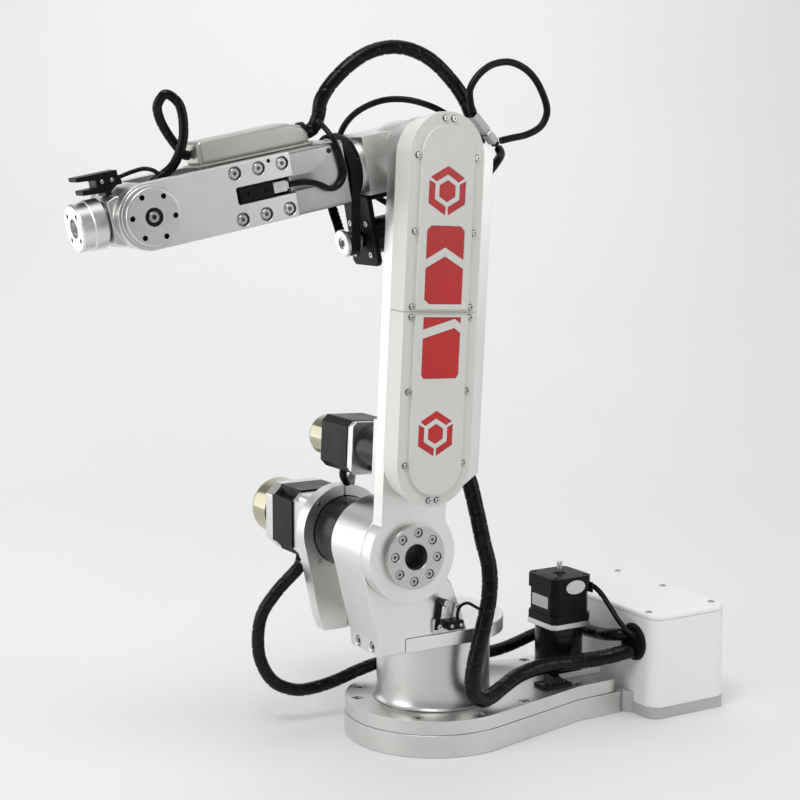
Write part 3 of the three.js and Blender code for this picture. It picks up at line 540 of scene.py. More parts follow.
def cable(name, pts, d, look="jacket", pitch=9.0, sides=20, step=None, grow=(0.0, 0.0)):
    """A cable as a closed tube. The 'spiral' look is a wrap whose turns stand proud with a groove between them. grow lengthens either end, in mm, to meet the cable it carries on into."""
    butt = grow != (0.0, 0.0)
    ends = [Vector(pts[0]), Vector(pts[-1])]
    ends[0] += (ends[0] - Vector(pts[1])).normalized() * grow[0]
    ends[1] += (ends[1] - Vector(pts[-2])).normalized() * grow[1]
    pts = [tuple(ends[0])] + list(pts[1:-1]) + [tuple(ends[1])]
    rough, total = centripetal(pts, 10)
    step = step or (0.7 if look == "spiral" else 1.6)
    n = max(8, int(total / step))
    C, total = centripetal(pts, n)
    T = np.gradient(C, axis=0)
    T /= np.linalg.norm(T, axis=1)[:, None]
    N = np.zeros_like(C)
    a = np.cross(T[0], [0, 0, 1.0])
    if np.linalg.norm(a) < 0.2:
        a = np.cross(T[0], [0, 1.0, 0])
    N[0] = a / np.linalg.norm(a)
    for i in range(1, len(C)):
        v = N[i - 1] - T[i] * np.dot(N[i - 1], T[i])
        N[i] = v / np.linalg.norm(v)
    B = np.cross(T, N)
    verts, faces = [], []
    R = d / 2
    for i in range(len(C)):
        s = total * i / n
        for k in range(sides):
            th = 2 * math.pi * k / sides
            r = R
            if look == "spiral":
                ph = ((s / pitch - k / sides) % 1.0)
                g = max(0.0, 1 - abs(ph - 0.5) / 0.085)
                lip = max(0.0, 1 - abs(ph - 0.62) / 0.09)
                r = R * (0.975 + 0.006 * math.sin(s * 0.16 + 1.3)) - R * 0.085 * (g * g * (3 - 2 * g)) + R * 0.018 * lip
            else:
                r = R * (0.985 + 0.012 * math.sin(s * 0.35 + k))
            if min(i, n - i) == 0 and not butt:
                r *= 0.93
            verts.append(tuple((C[i] + (N[i] * math.cos(th) + B[i] * math.sin(th)) * r) * MM))
    for i in range(n):
        for k in range(sides):
            j = (k + 1) % sides
            faces.append((i * sides + k, i * sides + j, (i + 1) * sides + j, (i + 1) * sides + k))
    faces.append(tuple(reversed(range(sides))))
    faces.append(tuple(range(n * sides, (n + 1) * sides)))
    me = bpy.data.meshes.new(name)
    me.from_pydata(verts, [], faces)
    me.update()
    me.materials.append(SLEEVE if look == "spiral" else JACKET)
    o = bpy.data.objects.new(name, me)
    scene.collection.objects.link(o)
    finish_mesh(o, 60, False)
    path = [tuple(C[int(round(k * n / 60))] * MM) for k in range(61)] if n >= 60 else [tuple(p * MM) for p in C]
    return o, path, total


def lay(node, pts, d, look, bodies, pitch=9.0, grow=(0.0, 0.0)):
    o, path, total = cable(node + "_cable", pts, d, look, pitch, grow=grow)
    if len(bodies) == 2:
        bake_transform(o)
    else:
        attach(o, bodies[0])
    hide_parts(node)
    return o


HL = [(-166.5, 54.2, 55.6), (-162, 54, 55.5), (-154, 51, 53.4), (-142, 44.6, 50.4), (-128, 39.2, 48.8), (-111.6, 36, 48.6), (-88, 36, 49.5), (-58.3, 41, 47.2), (-35, 50.5, 43),
      (-20, 57, 40), (-8, 62.5, 40.6), (2, 65.5, 47), (4.6, 66.5, 57), (2.5, 66.8, 74), (-4.5, 66.8, 99.7), (-10.6, 65.6, 121), (-12.4, 64.6, 131), (-12.98, 63.93, 134.7)]
lay("harness_lower", HL, 13.4, "spiral", ("base", "turret"), 14, grow=(0.0, 0.19))
HU = [(-13.04, 63.85, 135.1), (-13.6, 63.2, 138.8), (-13.9, 60.4, 152), (-11.1, 57, 168), (-6.8, 53.2, 194.1), (-1.3, 48.6, 221.3), A(75, -50, 47.6), A(105, -45.4, 47.8),
      A(150, -45, 48), A(205, -45, 48), A(258, -45, 48), A(280, -46.6, 48), A(284, -46.9, 48)]
lay("harness_upper", HU, 13.4, "spiral", ("turret", "upper_arm"), 14, grow=(0.19, 0.17))
TAIL = [A(262, -46, 48), A(280, -55, 47), A(291, -65.5, 47.6), A(301, -71.5, 52), A(309, -71.6, 60), A(313.6, -65.6, 66)]
tail, tail_path, tail_len = cable("encoder_tail_cable", TAIL, 7, "jacket")
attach(tail, "upper_arm")
ML = [(92.6, -58, 140.2), (97, -60, 134), (103.8, -66, 124.3), (112.1, -70, 113.4), (121, -74, 98), (124.6, -75, 80), (122.6, -75, 58), (111.8, -72.5, 38.5), (93.3, -68.5, 29.5), (76, -66, 29.6),
      (58, -63.5, 33.2), (38, -62, 39), (18.2, -60, 43.4), (-10, -61, 42), (-45, -58, 38.5), (-75, -53.5, 38.5), (-98.8, -49, 40.6), (-116, -47, 44.5), (-134, -43, 51), (-150, -33, 57), (-158.8, -18, 60),
      (-160.4, 0, 61), (-160.2, 18, 62.6), (-158.4, 30, 65), (-157.8, 37.6, 66.8), (-159.2, 43, 67.9), (-162, 46.3, 68.4), (-164.4, 46.8, 68.4), (-166.2, 46.8, 68.4)]
lay("motor_loop", ML, 11, "spiral", ("base", "turret"), 16)
LEAD2 = [(78, -90, 141.2), (78.6, -90, 136.4), (82, -88, 129), (89, -82.5, 122.4), (98, -75, 118.6), (107.5, -69.4, 117.4)]
lead2, lead2_path, lead2_len = cable("j2_motor_lead_cable", LEAD2, 5, "jacket")
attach(lead2, "turret")
L1 = [(-151, 13, 105.6), (-154.4, 13.6, 105.2), (-158.4, 19.6, 100), (-160.4, 30, 90.4), (-160.8, 42, 80.6), (-161, 50, 75.8), (-161.8, 55, 73), (-163.2, 58.4, 71.4), (-164.8, 59.3, 70.9), (-166.3, 59.3, 70.9)]
lay("j1_motor_lead", L1, 4.6, "jacket", ("base",))
L2 = [(18, 65, 111.4), (18.3, 65.2, 116.9), (15.8, 65.6, 122.1), (9.6, 66.1, 123.7), (3.2, 66.4, 120.3), (-1.7, 66.2, 117.2)]
lay("j2_switch_lead", L2, 2.6, "jacket", ("turret",))
L3 = [A(53.1, 12, -20), A(48.4, 12, -20.1), (69.6, -22, 212.6), (63.6, -28.6, 212.4), (56, -38.6, 213), (49.4, -49, 210), (45.4, -57.6, 204.6), (44.6, -59.7, 201.4), (44.5, -59.9, 198.5)]
lay("j3_motor_lead", L3, 6.4, "jacket", ("turret", "upper_arm"))
TR = [A(284.4, -46.93, 48), A(288.4, -47.3, 48.05), A(305, -52, 48.8), (-8.2, 50, 488), (-3.4, 50, 500.2), (5.8, 49, 519.1), (18.3, 47, 534.4), (32, 44.6, 546.4), (45, 42.3, 552.8), (54.06, 41.06, 554.98), (57.8, 40.53, 555.28)]
lay("top_loop_rear", TR, 11.0, "spiral", ("upper_arm", "elbow"), 17, grow=(0.17, 0.18))
TF = [(58.2, 40.47, 555.32), (61.94, 39.94, 555.62), (78, 37, 552.6), (93.5, 34.4, 544.4), (110.7, 31, 528.4), F(60.4, 53, 28.8), F(63.8, 42.6, 27), F(67.6, 35.4, 25.2), F(72.4, 32.5, 24.1), F(76.1, 32.4, 24)]
lay("top_loop_front", TF, 11.0, "spiral", ("elbow", "forearm"), 17, grow=(0.18, 0.0))
L4 = [(0.6, 46.3, 488.6), (6, 47.4, 495.4), (17.8, 49, 504), (29.9, 44, 511.2), (44.4, 34, 516.4), (57.1, 24, 517), (67, 12, 513.2), (76.4, 0, 504.4), (82, -8, 491), (81, -10.6, 476),
      F(27, -8, -11), F(12, -25, -11), F(-5, -40, -9), F(-20, -50, -3), F(-26.4, -53.9, 4.4), F(-27, -54.3, 9.3)]
lay("j4_motor_lead", L4, 5, "jacket", ("upper_arm", "elbow"))
RL = [A(339.2, -39.6, 66.4), (10.5, 66.2, 516.3), (10.8, 66.3, 524), (2.5, 66.6, 535.9), (-10.5, 67, 543.7), (-26.4, 68, 545.2), (-42.7, 69, 537.7), (-53.6, 70, 523.4), (-58.6, 70, 508.2), (-53.8, 69.6, 497.8),
      (-42, 69, 491.2), (-26.5, 67.6, 487.8), A(319.6, -66.4, 66.4)]
lay("ring_loop", RL, 5.6, "jacket", ("upper_arm",))
L5 = [(125.2, 36, 500.2), (125.8, 42, 497.2), (124.6, 49.6, 491.8), (121.2, 55.4, 483), (116.7, 56.2, 470.9), (114.6, 56.2, 460.4), (119, 56.2, 452.6),
      F(79.6, -9.2, 56.2), F(86, -5.4, 56.2), F(91, -2.6, 55.4), F(97, -0.9, 53), F(103, -0.2, 51), F(110.6, 0, 50.4)]
lay("j4_switch_lead", L5, 4.2, "jacket", ("forearm",))
WL = [F(170.8, 33.4, 22.4), F(173.8, 33.8, 21.8), F(178.2, 41.4, 20), F(182.8, 51, 19.2), F(187, 62, 20.4), F(188, 72, 23), F(181.6, 79, 26.4), F(174.2, 71, 29), F(174.6, 53, 30.2),
      F(179.4, 39.6, 29.6), F(188, 28, 27.4), F(198, 22.4, 24.8), F(206, 18.3, 24)]
lay("wrist_lead", WL, 7.2, "spiral", ("forearm", "wrist"), 11)
L6 = [F(198.6, 25.2, 26.4), F(201.6, 28.4, 24.4), F(206.4, 30.4, 20.8), F(214, 29.8, 17.6), F(221.6, 29, 19.4), F(226, 28.7, 23), F(228.6, 28.7, 24)]
lay("j6_switch_lead", L6, 3.2, "jacket", ("wrist",))

# ------------------------------------------------------------------ rigid pieces carried over from the frame
for node, mats, bev in [
    ("base_lower_plate", ALU, 0.9), ("turret_platform", ALU_LIGHT, 0.6), ("j2_housing", ALU_LIGHT, 0.8), ("j2_motor_mount", ALU_LIGHT, 0.7),
    # forearm_body takes the darker aluminium copy, its painted shade
    ("upper_arm_plate", ALU_LIGHT, 0.7), ("j3_motor_bracket", ALU, 0.6), ("elbow_housing", ALU_LIGHT, 0.8), ("forearm_body", ALU_BODY_SHADE, 0.6), ("forearm_plate_far", ALU, 0.6),
    ("wrist_housing", ALU_FINE, 0.4), ("j6_motor", ALU_FINE, 0.3), ("j1_drive_pulley", ALU_FINE, 0.2), ("j1_motor_pulley", ALU_FINE, 0.2),
    ("j3_drive_pulley", ALU_FINE, 0.2), ("j3_motor_pulley", ALU_FINE, 0.2), 
    ("j4_motor_bracket", BLACK_AND_SHADE, 0.5), ("enclosure_floor", GREY, 0.6), 
    ("j6_limit_switch", BLACK_AND_SHADE, 0.4),
    ("j5_motor", LAMINATION, 0.3), 
    ("arm_cover_lower", IVORY, 0.8), ("arm_cover_upper", IVORY, 0.8), ("base_top_plate", ALU, 0.7),
    ("tool_flange", ALU_FINE, 0.4),
    ("j4_motor", BLACK_OXIDE_AND_SHADE, 0.4),
    
]:
    refine(node, mats, bev)

# ------------------------------------------------------------------ turned, cut and fastened detail
def oct_pts(h, c, cx=0.0, cy=0.0):
    return [(cx - h + c, cy - h), (cx + h - c, cy - h), (cx + h, cy - h + c), (cx + h, cy + h - c), (cx + h - c, cy + h), (cx - h + c, cy + h), (cx - h, cy + h - c), (cx - h, cy - h + c)]


def notched(h, c):
    """A square stack with its four corners cut back square for the through bolts."""
    k = h - c
    return [(-k, -h), (k, -h), (k, -k), (h, -k), (h, k), (k, k), (k, h), (-k, h), (-k, k), (-h, k), (-h, -k), (-k, -k)]


# J1 motor: gearbox flange, laminated stack, black end bell, rear shaft, two blank stickers
mz = lambda x, y, z: (-129 + x, y, z)
b = Build("j1_motor_shape")
b.use(ALU_FINE).prism(oct_pts(21.1, 4), 72.3, 76.9, 0.5, [(sx * 15.5, sy * 15.5, [(1.9, 0), (1.9, 2)], False, 16) for sx in (-1, 1) for sy in (-1, 1)], mz)
b.use(LAMINATION).prism(oct_pts(20.8, 4.6), 76.8, 84.0, 0.35, (), mz)
b.use(LAMINATION).prism(oct_pts(19.9, 5.6), 83.9, 104.6, 0.3, (), mz)
b.use(BLACK_AND_SHADE).prism(oct_pts(20.8, 4.6), 104.5, 116.9, 0.7, [(sx * 15.6, sy * 15.6, [(2.1, 0), (1.9, 1.6)], False, 16) for sx in (-1, 1) for sy in (-1, 1)] + [(0, 0, [(5.6, 0), (5.2, 1.1)], False, 28)], mz)
b.use(STEEL).lathe([(0, 115.0), (2.45, 115.0), (2.45, 126.4), (2.0, 126.95), (0, 126.95)], about_z(-129, 0), 28)
b.use(BLACK_AND_SHADE).prism([(-150.4, 4), (-148.8, 4), (-148.8, 20), (-150.4, 20)], 101, 110, 0.2, (), XY)
b.use(LABEL)
b.prism([(10.0 * math.cos(math.radians(a)), 6.0 * math.sin(math.radians(a))) for a in range(0, 360, 10)], 0, 1.08, 0.12, (), lambda x, y, z: (-131.2 - x, 19.9 + z, 108.2 + y))
b.prism(rrect(-11.5, 11.5, -5.2, 5.2, 0.6, 3), 0, 0.2, 0.06, (), lambda x, y, z: (-129 + 19.86 + z, -0.6 + x, 94.6 + y))
b.done("base", ("j1_motor",), "motor_black", 30)

# J2 motor: front flange, laminations, end bell and pale brass encoder cap

def yprism(b, pts, lo, hi, bevel, holes=(), cx=0.0, cz=0.0, steps=3, bevel_lo=None, face=1):
    """Outline in x and z, raised along +Y (face=1) or towards -Y (face=-1); the pocketed side is the one it is raised to."""
    if face > 0:
        b.prism([(x, -z) for x, z in pts], lo, hi, bevel, [(h[0], -h[1], *h[2:]) for h in holes], lambda x, y, h: (cx + x, h, cz - y), steps, bevel_lo)
    else:
        b.prism([(x, z) for x, z in pts], -hi, -lo, bevel, holes, lambda x, y, h: (cx + x, -h, cz + y), steps, bevel_lo)


def xprism(b, pts, lo, hi, bevel, holes=(), cy=0.0, cz=0.0, steps=3, bevel_lo=None):
    """Outline in y and z, raised along +X."""
    b.prism(pts, lo, hi, bevel, holes, lambda y, z, h: (h, cy + y, cz + z), steps, bevel_lo)


b = Build("j2_motor_shape")
b.use(ALU_FINE); yprism(b, rrect(-28.1, 28.1, -28.1, 28.1, 5, 5), -63.0, -48.6, 0.6, (), J2X, J2Z)
b.use(ALU_FINE); yprism(b, oct_pts(26.6, 6), -75.4, -62.9, 0.5, (), J2X, J2Z)
b.use(LAMINATION); yprism(b, fillet(notched(28.1, 8.2), 0.7, 3), -110.9, -75.3, 0.4, (), J2X, J2Z)
b.use(ALU_FINE); yprism(b, fillet(oct_pts(28.1, 9.5), 2.0, 4), -123.4, -110.8, 0.9,
                        [(sx * 20.6, sz * 20.6, [(3.2, 0), (3.2, 3.2)], False, 20, DARK_STEEL_AND_SHADE) for sx in (-1, 1) for sz in (-1, 1)], J2X, J2Z, face=-1)
# black disc between end bell and brass cap: painted shade standing in for the dark hollow of the ring
b.use(BLACK_AND_SHADE).lathe([(0, -123.2), (22.8, -123.2), (22.8, -128.9), (0, -128.9)][::-1], about_y(J2X, J2Z), 64)
b.use(BRASS).lathe([(0, -128.7), (21.4, -128.7), (21.4, -131.8), (24.9, -131.8), (25, -132.4), (25, -153.8), (24.6, -156.2), (23.4, -158.2), (21.2, -159.3), (19.4, -159.45), (0, -159.45)][::-1], about_y(J2X, J2Z), 72)
b.done("turret", ("j2_motor",), "motor_black", 30)

b = Build("j3_motor_shape", ARM)
b.use(ALU_FINE); yprism(b, oct_pts(21.1, 3), 4.4, 8.6, 0.5, (), 0, 74.7)
b.use(ALU_FINE); yprism(b, oct_pts(20.4, 4), -0.4, 4.5, 0.4, (), 0, 74.7)
b.use(LAMINATION); yprism(b, oct_pts(21.1, 5), -42.9, -0.3, 0.6, [(sx * 15.6, sz * 15.6, [(2.2, 0), (1.9, 2)], False, 16) for sx in (-1, 1) for sz in (-1, 1)], 0, 74.7, face=-1)
b.use(BRASS).lathe([(0, -42.7), (15.2, -42.7), (15.2, -44.6), (17.4, -44.6), (17.5, -45.2), (17.5, -68.6), (17.0, -70.8), (15.9, -72.4), (13.6, -73.3), (11.8, -73.45), (0, -73.45)][::-1], about_y(0, 74.7), 64)
b.done("upper_arm", ("j3_motor",), "motor_black", 30)

b = Build("j2_gearbox_shape").use(BLACK_OXIDE_AND_SHADE)
b.lathe([(0, -48.2), (J2_GEARBOX_R, -48.2), (J2_GEARBOX_R, 3.6), (J2_GEARBOX_R - 0.3, 4.1), (J2_GEARBOX_R - 1, 4.6), (0, 4.6)], about_y(J2X, J2Z), 96)
b.done("turret", ("j2_gearbox",), "motor_black", 30)
b = Build("j3_gearbox_shape", ARM).use(BLACK_OXIDE_AND_SHADE)
b.lathe([(0, 9), (18.9, 9), (19.2, 9.3), (19.2, 46.4), (18.9, 46.7), (14.3, 46.7), (14.3, 71), (0, 71)], about_y(0, 74.7), 72)
b.done("upper_arm", ("j3_gearbox",), "motor_black", 30)

# shoulder output flange: eight counterbored bolts round a bore darkened with painted shade
b = Build("j2_output_flange_shape", ARM)
# flange face in the darker aluminium copy, its painted shade
b.use(DISC_SHADE)
bolts = [(19.0 * math.cos(math.radians(i * 45 + 2.7)), 19.0 * math.sin(math.radians(i * 45 + 2.7)), [(4.0, 0), (3.75, 0.25), (3.75, 3.6)], False, 26) for i in range(8)]
yprism(b, arc(0, 0, 25.4, 0, 360, 95)[:-1], 72.3, 77.8, 0.7, bolts + [(0, 0, [(10.5, 0), (10.0, 0.5), (10.0, 5.4)], True, 56)], 0, 0, bevel_lo=0)
# shaft inside the bore, coloured dark as painted shade
b.use(BORE_SHADE).lathe([(0, 5.6), (13.9, 5.6), (13.9, 58.7), (19.3, 58.7), (19.3, 72.3), (9.9, 72.3), (9.9, 60.2), (0, 60.2)], about_y(0, 0), 72)
b.done("upper_arm", ("j2_output_flange",), "aluminium", 30)
b = Build("j2_flange_bolts", ARM).use(STEEL)
for x, z, *_ in bolts:
    b.screw((x, 74.3, z), (0, 1, 0), 3.1, 2.7)
b.done("upper_arm", (), "steel", 30)

# wrist axis cap on the near side plate: stepped rim, six tapped holes, hub
b = Build("j5_cap_near_shape", FORE)
b.use(ALU_FINE).lathe([(6.4, 55.6), (22.2, 55.6), (22.2, 56.6), (21.8, 57.05), (6.4, 57.05)], about_y(WRIST_U, 0), 96, closed=True)
# the tapped holes and the centre bore are lined black: painted shade in the holes
tapped = [(16.1 * math.cos(math.radians(i * 60 + 7)), 16.1 * math.sin(math.radians(i * 60 + 7)), [(2.0, 0), (1.75, 0.3), (1.75, 3.4)], False, 20, BLACK_OXIDE_AND_SHADE) for i in range(6)]
b.use(CAP_FACE); yprism(b, arc(0, 0, 20.6, 0, 360, 96)[:-1], 57.0, 61.9, 1.3, tapped + [(0, 0, [(6.7, 0), (6.4, 0.3), (6.4, 4.9)], True, 48, BLACK_OXIDE_AND_SHADE)], WRIST_U, 0, 5, 0)
b.done("forearm", ("j5_cap_near",), "aluminium", 30)
b = Build("j5_hub_screw", FORE)
b.use(BLACK_OXIDE_AND_SHADE).lathe([(3.4, 60.9), (6.0, 60.9), (6.0, 61.3), (5.8, 61.4), (3.4, 61.4)], about_y(WRIST_U, 0), 40, closed=True)
b.use(STEEL).screw((WRIST_U, 61.3, 0), (0, 1, 0), 3.8, 0.55, 1.9, 0.15)
# flat black hexagon over the screw head: painted shade standing in for the hex socket
b.use(BLACK_OXIDE_AND_SHADE); yprism(b, [(1.9 * math.cos(math.radians(a)), 1.9 * math.sin(math.radians(a))) for a in range(0, 360, 60)], 61.35, 61.7, 0.05, (), WRIST_U, 0)
b.done("wrist", (), "steel", 30)

# near forearm plate: six button screws in counterbores, a vent hole and the open slot
fscrews = [(u, v) for v in (16.7, -16.7) for u in (114.8, 134, 153.2)]

slot_end = [(107.9, 23.7), (107.9, 6.2)] + arc(153, 4.7, 1.5, 90, 0, 4) + arc(153, -4.7, 1.5, 0, -90, 4) + [(107.9, -6.2), (107.9, -23.7)]
b = Build("forearm_plate_near_shape", FORE)
cbores = [(u, v, [(5.3, 0), (5.1, 0.25), (5.1, 4.7)], False, 32) for u, v in fscrews]
# the vent hole is lined black: painted shade in the hole
b.use(ALU); yprism(b, arc(WRIST_U, 0, 23.7, -90, 90, 56) + slot_end, 46, 55.3, 0.7,
                   cbores + [(WRIST_U, 0, [(6.0, 0), (6.0, 9.3)], True, 40), (125.4, 20.4, [(1.5, 0), (1.3, 3)], False, 16, BLACK_OXIDE_AND_SHADE)])
b.done("forearm", ("forearm_plate_near",), "aluminium", 30)

# socket-cap screws, one mesh for each body they are fixed to
b = Build("base_screws").use(STEEL)
for x, y in [(60, -22), (43.4, 47.2), (-2.6, 66.5), (-53.6, 55.5), (-120.7, 39.3), (-53.6, -55.5), (43.4, -47.2), (-120.7, -39.3), (-2.6, -66.5)]:
    b.screw((x, y, 25.7), (0, 0, 1), 3.9, 3.6)
for x in (-175.4, -244.5):
    for y in (65.2, 0, -65.2):
        b.screw((x, y, 90.6), (0, 0, 1), 3.2, 0.55, 1.6)
b.done("base", (), "steel", 30)
b = Build("turret_screws").use(STEEL)
for y in (24, 46):
    b.screw((80.5, y, 94), (1, 0, 0), 3.9, 4.0)
for a in (45, 135, 225, 315):
    b.screw((J2X + 33.4 * math.cos(math.radians(a)), -35.2, J2Z + 33.4 * math.sin(math.radians(a))), (0, 1, 0), 2.0, 0.4, 1.1, 0.1)
b.screw((31, 69.3, 127), (0, 1, 0), 2.6, 0.4, 1.3, 0.1)
b.done("turret", (), "steel", 30)
b = Build("cover_screws", ARM)
rim_lo = [(u, s * 25.7) for u in (74.9, 130.3, 185.8) for s in (-1, 1)] + [(74.7 - 27.2, -3.6), (74.7 - 27.2, 3.6)]
rim_hi = [(u, s * 25.7) for u in (193.4, 248.9, 304.3) for s in (-1, 1)] + [(305 + 27.2, -3.6), (305 + 27.2, 3.6)]
for u, v in rim_lo + rim_hi:
    # thin dark disc wider than the head: painted shadow ring round each screw
    b.use(DARK_STEEL_AND_SHADE).lathe([(0, 96.5), (2.5, 96.5), (2.5, 96.72), (0, 96.72)], lambda x, y, h, u=u, v=v: (v + x, h, u - y), 24)
    b.use(STEEL).screw((v, 96.8, u), (0, 1, 0), 2.05, 1.2, 1.15)
b.done("upper_arm", (), "steel", 30)
b = Build("forearm_screws", FORE)
for u, v in fscrews:
    b.use(STEEL).screw((u, 50.7, v), (0, 1, 0), 4.35, 4.2, 1.7, 1.1)
    b.use(STEEL).screw((u, -4.7, v), (0, -1, 0), 4.2, 2.3, 1.7, 0.8)
# flat black disc on the forearm body: painted shade standing in for a hole
b.use(BLACK_OXIDE_AND_SHADE).screw((74.2, 53.2, 18.0), (0, 1, 0), 2.0, 0.12, 1.1, 0.03)
b.done("forearm", (), "steel", 30)



# ------------------------------------------------------------------ enclosure, gland, column and small fittings
b = Build("enclosure_cover_shape")
wall = rrect(-252, -170, -80, 80, 12, 18)
inner = inset(ccw(wall), 2.6)
loops = [b.use(WHITE).ring([(x, y, z) for x, y in pts]) for pts, z in [(inner, 9.8), (wall, 9.8), (wall, 85.2), (inset(ccw(wall), 0.25), 85.8), (inset(ccw(wall), 0.8), 86.0), (inner, 86.0)]]
for p, q in zip(loops, loops[1:] + loops[:1]):
    b.skin(p, q)
for sx, sy in ((1, 1), (1, -1), (-1, 1), (-1, -1)):
    bx, by = (-178.2 if sx > 0 else -243.8), sy * 71.8
    b.prism([(bx + x, by + y) for x, y in oct_pts(3.9, 2)], 10.2, 85.9, 0.2)
cover = b.done("base", ("enclosure_cover",), "box_white", 30)
cut_tool = Build("gland_cutter")
cut_tool.lathe([(0, -180), (15.2, -180), (15.2, -168), (0, -168)], about_x(53, 62.7), 64)
me = bpy.data.meshes.new("gland_cutter")
me.from_pydata([tuple(Vector(p) * MM) for p in cut_tool.v], [], cut_tool.f)
tool = bpy.data.objects.new("gland_cutter", me)
scene.collection.objects.link(tool)
bake_boolean(cover, tool)
b = Build("enclosure_lid_shape").use(WHITE)
b.prism(wall, 86.3, 90.5, 2.6, (), None, 6, 0.3)
b.done("base", ("enclosure_lid",), "box_white", 30)
b = Build("cable_gland_shape").use(RUBBER)
b.lathe([(0, -174), (14.9, -174), (15.0, -169.6), (16.2, -169.6), (16.2, -169.2), (15.9, -168.6), (15.4, -168.1), (14.8, -167.4), (14.2, -167.05), (11.5, -167.3), (4, -167.6), (0, -167.6)], about_x(53, 62.7), 72)
b.done("base", ("cable_gland",), "black_plastic", 30)
b = Build("j1_gearbox_shape").use(BLACK_OXIDE_AND_SHADE)
b.lathe([(0, 30.4), (20.4, 30.4), (20.6, 30.7), (20.6, 36.6), (20.2, 36.9), (20.2, 37.4), (20.6, 37.7), (20.6, 64.6), (20.2, 64.9), (20.2, 65.4), (20.6, 65.7), (20.6, 70.9), (19.6, 72), (0, 72)], about_z(-129, 0), 84)
b.done("base", ("j1_gearbox",), "motor_black", 28)
b = Build("turret_column_shape").use(ALU)
b.lathe([(0, 19), (20.1, 19), (20.1, 30.5), (50.4, 30.5), (50.4, 30.7), (49.9, 31.1), (49.2, 31.9), (48.6, 33.0), (48.0, 34.6), (47.5, 36.8), (47.15, 39.4), (47.0, 42.4), (47.0, 87.3), (46.6, 87.7), (0, 87.7)], about_z(0, 0), 128)
b.done("turret", ("turret_column",), "aluminium", 28)
b = Build("cable_clip_shape").use(BLACK_AND_SHADE)
b.prism(rrect(-112, -84, 25.5, 44, 1.5, 4), 30.4, 33, 0.4)
yprism(b, [(-104, 32.8), (-92, 32.8), (-95, 39.5), (-101, 39.5)], 28, 42, 0.5)
b.use(STEEL).screw((-108.4, 34.8, 33.0), (0, 0, 1), 2.1, 1.3)
b.screw((-87.6, 34.8, 33.0), (0, 0, 1), 2.1, 1.3)
b.done("base", ("cable_clip",), "black_plastic", 30)
b = Build("cable_tie_strip").use(LABEL)
b.prism(rrect(-156, -113.2, 22.2, 25.3, 1.0, 4), 30.3, 34.6, 0.5)
b.done("base", (), "box_white", 30)

# forearm cover: soft-edged shell with a skirt and a cable port
# the cover's darkened colour is painted shade and painted dark reflection
b = Build("j5_cover_shape", FORE).use(SATIN_SHADE)
yprism(b, fillet([(84.8, 24.9), (168.6, 24.9), (170, 27), (169.5, 42.3), (96.5, 42.6), (84, 39), (79.0, 32.5), (79.0, 24.9)], [0, 0, 1.5, 4.2, 5.5, 5, 4, 0], 7), 12, 36, 3.2, (), 0, 0, 5)
yprism(b, [(78, 24.0), (172, 24.0), (172, 25.6), (78, 25.6)], 9.5, 38.5, 0.4)
b.use(BLACK_AND_SHADE).lathe([(5.2, 76.7), (7.6, 76.7), (8.0, 77.2), (8.0, 81), (5.2, 81)], about_x(24, 32.4), 40, closed=True)
b.use(BLACK_AND_SHADE).lathe([(0, 79.2), (5.6, 79.2), (5.6, 80.8), (0, 80.8)], about_x(24, 32.4), 40)
b.use(STEEL)
for u in (84, 166):
    for y in (10.9, 37.1):
        b.screw((u, y, 25.5), (0, 0, 1), 1.1, 0.6, 0.6, 0.1)
b.done("forearm", ("j5_cover",), "cover_ivory", 34)

# plug and socket at the top of the arm, on the line between the two ends of the ring lead
b = Build("cable_connector_shape", ARM)
e0, e1 = Vector((-40.0, 0, 337.2)), Vector((-62.6, 0, 316.2))
ax = (e1 - e0).normalized()
ln = (e1 - e0).length
sd = Vector((ax.z, 0, -ax.x))
PL = lambda x, y, h: tuple(e0 + ax * h + sd * x + Vector((0, 66.3 + y, 0)))
b.use(GREY).prism(rrect(-3.1, 3.1, -4.8, 4.8, 0.8, 4), 0.0, ln * 0.50, 0.4, (), PL)
b.use(GREY).prism(rrect(-2.5, 2.5, -4.1, 4.1, 0.6, 4), ln * 0.49, ln * 0.64, 0.3, (), PL)
b.use(STEEL).prism(rrect(-2.9, 2.9, -4.5, 4.5, 0.9, 4), ln * 0.56, ln * 0.61, 0.2, (), PL)
b.use(GREY).prism(rrect(-3.0, 3.0, -4.6, 4.6, 1.2, 4), ln * 0.63, ln * 0.90, 0.5, (), PL)
b.use(BLACK_AND_SHADE).prism(rrect(-2.2, 2.2, -3.6, 3.6, 1.4, 4), ln * 0.89, ln * 1.0, 0.5, (), PL)
b.use(BLACK_AND_SHADE).prism(rrect(-2.6, 2.6, -3.9, 3.9, 1.4, 4), -0.8, ln * 0.1, 0.3, (), PL)
b.done("upper_arm", ("cable_connector",), "floor_grey", 30)

# shoulder limit switch: bright bracket, black body, lever and roller
b = Build("j2_limit_switch_shape")
b.use(STEEL); yprism(b, fillet([(12, 101), (38, 101), (38, 113), (12, 113)], 1.5, 4), 58.5, 60.6, 0.25)
b.use(BLACK_AND_SHADE); yprism(b, fillet([(14, 104), (28, 104), (28, 111), (14, 111)], 0.8, 4), 60.7, 67.9, 0.4)
b.use(STEEL); yprism(b, fillet([(12, 111.5), (20, 111.5), (17, 124), (12, 122)], 1.0, 4), 58.7, 60.4, 0.2)
b.use(BLACK_AND_SHADE); yprism(b, fillet([(29, 128), (33.5, 128), (37, 104), (33, 104)], 0.8, 4), 58.7, 61.4, 0.3)
b.use(DARK_STEEL_AND_SHADE).lathe([(0, 58.7), (2.6, 58.7), (2.6, 63.6), (1.6, 63.6), (1.6, 64.4), (3.0, 64.4), (3.0, 68.6), (2.7, 68.95), (0, 68.95)], about_y(31, 127), 32)
